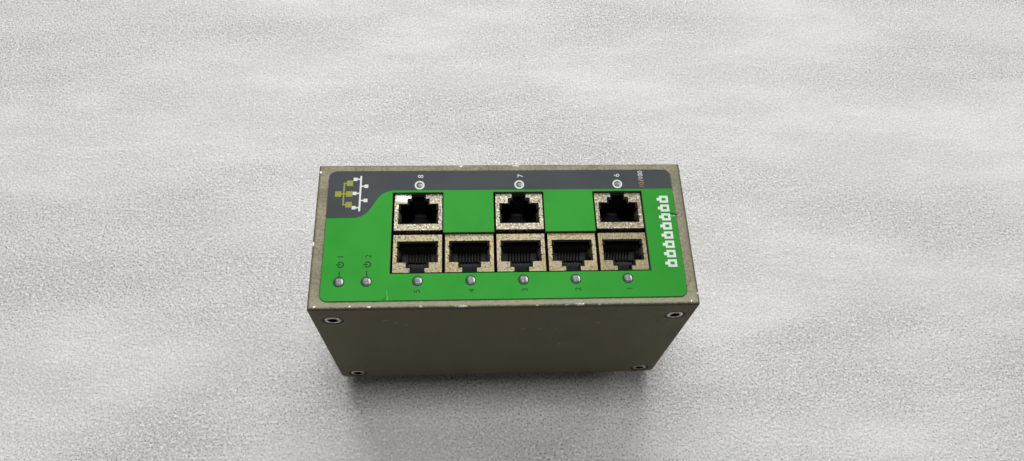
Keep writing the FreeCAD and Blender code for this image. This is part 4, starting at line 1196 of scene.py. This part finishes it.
# %% Boards
def solder_mask():
    material, tree, shader, position = start_material("circuit_board", Coat_Weight=0.3, Coat_Roughness=0.2)
    tracks = add_node(tree, "TexVoronoi", {"Vector": position, "Scale": 1 / (4 * MM)}, distance="MANHATTAN",
                      feature="DISTANCE_TO_EDGE").outputs["Distance"]
    copper = fade(tree, tracks, 0.07, 0.04)
    tree.links.new(blend_colours(tree, copper, screen_colour(18, 84, 44), screen_colour(44, 124, 66)),
                   shader.inputs["Base Color"])
    tree.links.new(fade(tree, copper, 0.0, 1.0, 0.35, 0.28), shader.inputs["Roughness"])
    bump(tree, shader, copper, 0.03 * MM)
    return material


inside_nodes = [
    (solder_mask(), ("main_board", "upper_board")),
    (package_plastic, ("switch_chip", "port_transformers", "power_inductor", "power_capacitors",
                       "board_header", "board_socket")),
    (zinc, ("clinch_nuts", "board_standoffs", "board_spacers", "board_screws", "earth_nut")),
    (tinned, ("crystal",)),
    (tin_pin, ("terminal_pins",))]
for material, nodes in inside_nodes:
    for node in nodes:
        dress(node, material)
print("nodes inside:", sum(len(nodes) for _, nodes in inside_nodes))

# %% [markdown]
# ## Supply terminal, earth screw and rail clip
# On the left end a socket for a plug-in terminal looks out of the sheet, with the earth screw
# beside it. Under the box is the rail clip: its body, the sliding latch, and the spring that
# pushes the latch home.

# %% Terminal and clip
rounded_copy("terminal_header", 0.2 * MM, terminal_plastic)
rounded_copy("clip_body", 0.25 * MM, clip_plastic)
rounded_copy("clip_latch", 0.25 * MM, clip_plastic, body="latch")

# %% [markdown]
# The earth screw is turned like the others, with a domed head on a flat washer. The two screws
# that hold the rail clip are countersunk, like those in the sides.

# %% Earth screw and clip screws
low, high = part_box("earth_screw")
foot = Vector((low.x + 2.7 * MM, (low.y + high.y) / 2, (low.z + high.z) / 2))    # under the washer
washer_r = (high.y - low.y) / 2 / MM
head_r = 3.8
profile = [(1.8, -6.0, 0), (1.8, 0.0, 0), (washer_r - 0.1, 0.0, 0), (washer_r, 0.1, 0), (washer_r, 0.4, 0),
           (washer_r - 0.1, 0.5, 0), (head_r, 0.5, 0), (head_r, 1.5, 0), (head_r - 0.35, 2.2, 0),
           (head_r - 1.1, 2.6, 0), (head_r - 1.6, 2.7, 0), (1.75, 2.7, 6), (1.6, 2.55, 6), (1.6, 1.2, 6),
           (0.3, 0.9, 0)]
builder = bmesh.new()
turned_mesh(builder, profile, foot, (-1, 0, 0))
build_piece("earth_screw_turned", builder, zinc, ["earth_screw"])

builder = bmesh.new()
for low, high in island_boxes("clip_screws"):
    centre = Vector(((low.x + high.x) / 2, (low.y + high.y) / 2, low.z))
    socket_screw(builder, centre, (0, 0, -1), (high.z - low.z) / MM)
build_piece("clip_screw_heads", builder, zinc, ["clip_screws"])

# %% [markdown]
# The spring is a folded strip between the latch and a post on the clip. On the real clip it flattens
# towards the post when the latch is pulled out; here it gets rounded edges and a mesh of its own.

# %% Spring
spring = rounded_copy("latch_spring", 0.05 * MM, zinc)
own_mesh(spring)

# %% [markdown]
# ## Floor
# The switch lies on a pale sheet with a coarse grain, painted glints and soft streaks along X. Camera
# rays and glossy rays see its pale colour. Diffuse rays see it darker, so that the sheet doesn't
# light up the shaded side of the box too much.

# %% Floor
def floor_material():
    material, tree, shader, position = start_material("floor", Specular_IOR_Level=0.3)
    stretched = add_node(tree, "Mapping", {"Vector": position, "Scale": (0.3, 1.0, 1.0)}).outputs[0]
    streaks = fade(tree, noise(tree, stretched, 22 * MM, 4.0, 0.6), 0.35, 0.7)
    patches = fade(tree, noise(tree, stretched, 60 * MM, 2.0, 0.5), 0.4, 0.6, 0.55, 1.0)
    speckle = fade(tree, noise(tree, position, 1.1 * MM, 4.0, 0.65), 0.36, 0.64)
    tone = blend_colours(tree, streaks, screen_colour(212, 210, 207), screen_colour(232, 231, 229))
    light = multiply(tree, speckle, patches)
    tone = blend_colours(tree, light, tone, screen_colour(252, 251, 249))
    pits = fade(tree, noise(tree, position, 0.8 * MM, 3.0, 0.6), 0.5, 0.3)
    pits = multiply(tree, pits, patches)
    tone = blend_colours(tree, pits, tone, screen_colour(140, 137, 134))
    # painted glints: sparse white specks in the floor's colour
    floor_painted_glints = multiply(tree, fade(tree, noise(tree, position, 1.3 * MM, 1.0), 0.62, 0.7), 0.6)
    tone = blend_colours(tree, floor_painted_glints, tone, screen_colour(255, 255, 255))
    path = add_node(tree, "LightPath").outputs
    seen = largest(tree, path["Is Camera Ray"], path["Is Glossy Ray"], path["Is Transmission Ray"])
    tree.links.new(blend_colours(tree, seen, screen_colour(108, 93, 83), tone), shader.inputs["Base Color"])
    tree.links.new(fade(tree, speckle, 0.0, 1.0, 0.6, 0.4), shader.inputs["Roughness"])
    bump(tree, shader, calculate(tree, "ADD", light, streaks), 0.3 * MM)
    return material


floor_half = 4.0
corners = [(x * floor_half, y * floor_half, 0) for x, y in ((-1, -1), (1, -1), (1, 1), (-1, 1))]
floor_mesh = bpy.data.meshes.new("floor")
floor_mesh.from_pydata(corners, [], [(0, 1, 2, 3)])
floor = link_mesh("floor", floor_mesh, floor_material())
floor.location.z = cad_box[0].z
print("floor:", 2 * floor_half, "m wide")

# %% [markdown]
# ## Light
# A soft key lamp stands behind the switch, which leaves the near side in shade, and a ceiling lamp
# straight above keeps that shadow light. Neither stands where a flat panel would mirror it to the
# camera. A faint one far to the right gives the lamps and the screw heads a small highlight.

# %% Lamps round the switch
def area_lamp(name, place, width, depth, share):
    """A flat lamp aimed at the panel. Share is how much of full light it gives to the panel."""
    lamp = bpy.data.lights.new(name, "AREA")
    lamp.shape = "RECTANGLE"
    lamp.size = width
    lamp.size_y = depth
    away = Vector(place) - aim
    slant = away.normalized().z
    lamp.energy = share * math.pi ** 2 * away.length_squared / slant
    holder = bpy.data.objects.new(name, lamp)
    holder.matrix_world = Matrix.Translation(place) @ away.to_track_quat("Z", "Y").to_matrix().to_4x4()
    scene.collection.objects.link(holder)
    print(name, round(lamp.energy, 1), "W")


area_lamp("key", (-0.05, 1.25, 1.4), 1.4, 0.5, 0.48)
area_lamp("ceiling", (0.0, 0.12, 1.7), 0.4, 0.3, 0.46)
area_lamp("window", (1.5, 1.2, 0.65), 0.4, 0.4, 0.05)

# %% [markdown]
# A little light comes from the world too. With it, a surface that faces up gets about as much as
# a colour of 1 needs to be white. Only the camera sees the world as pale as a wall.

# %% World
world = bpy.data.worlds.new("world")
scene.world = world
world.use_nodes = True
world_tree = world.node_tree
path = add_node(world_tree, "LightPath").outputs
background = world_tree.nodes["Background"]
seen = largest(world_tree, path["Is Camera Ray"], path["Is Transmission Ray"])
faint = (0.08, 0.08, 0.08, 1.0)
wall = blend_colours(world_tree, seen, faint, screen_colour(222, 222, 220))
world_tree.links.new(wall, background.inputs["Color"])
scene.view_settings.view_transform = "Standard"
print("world light:", faint[0])
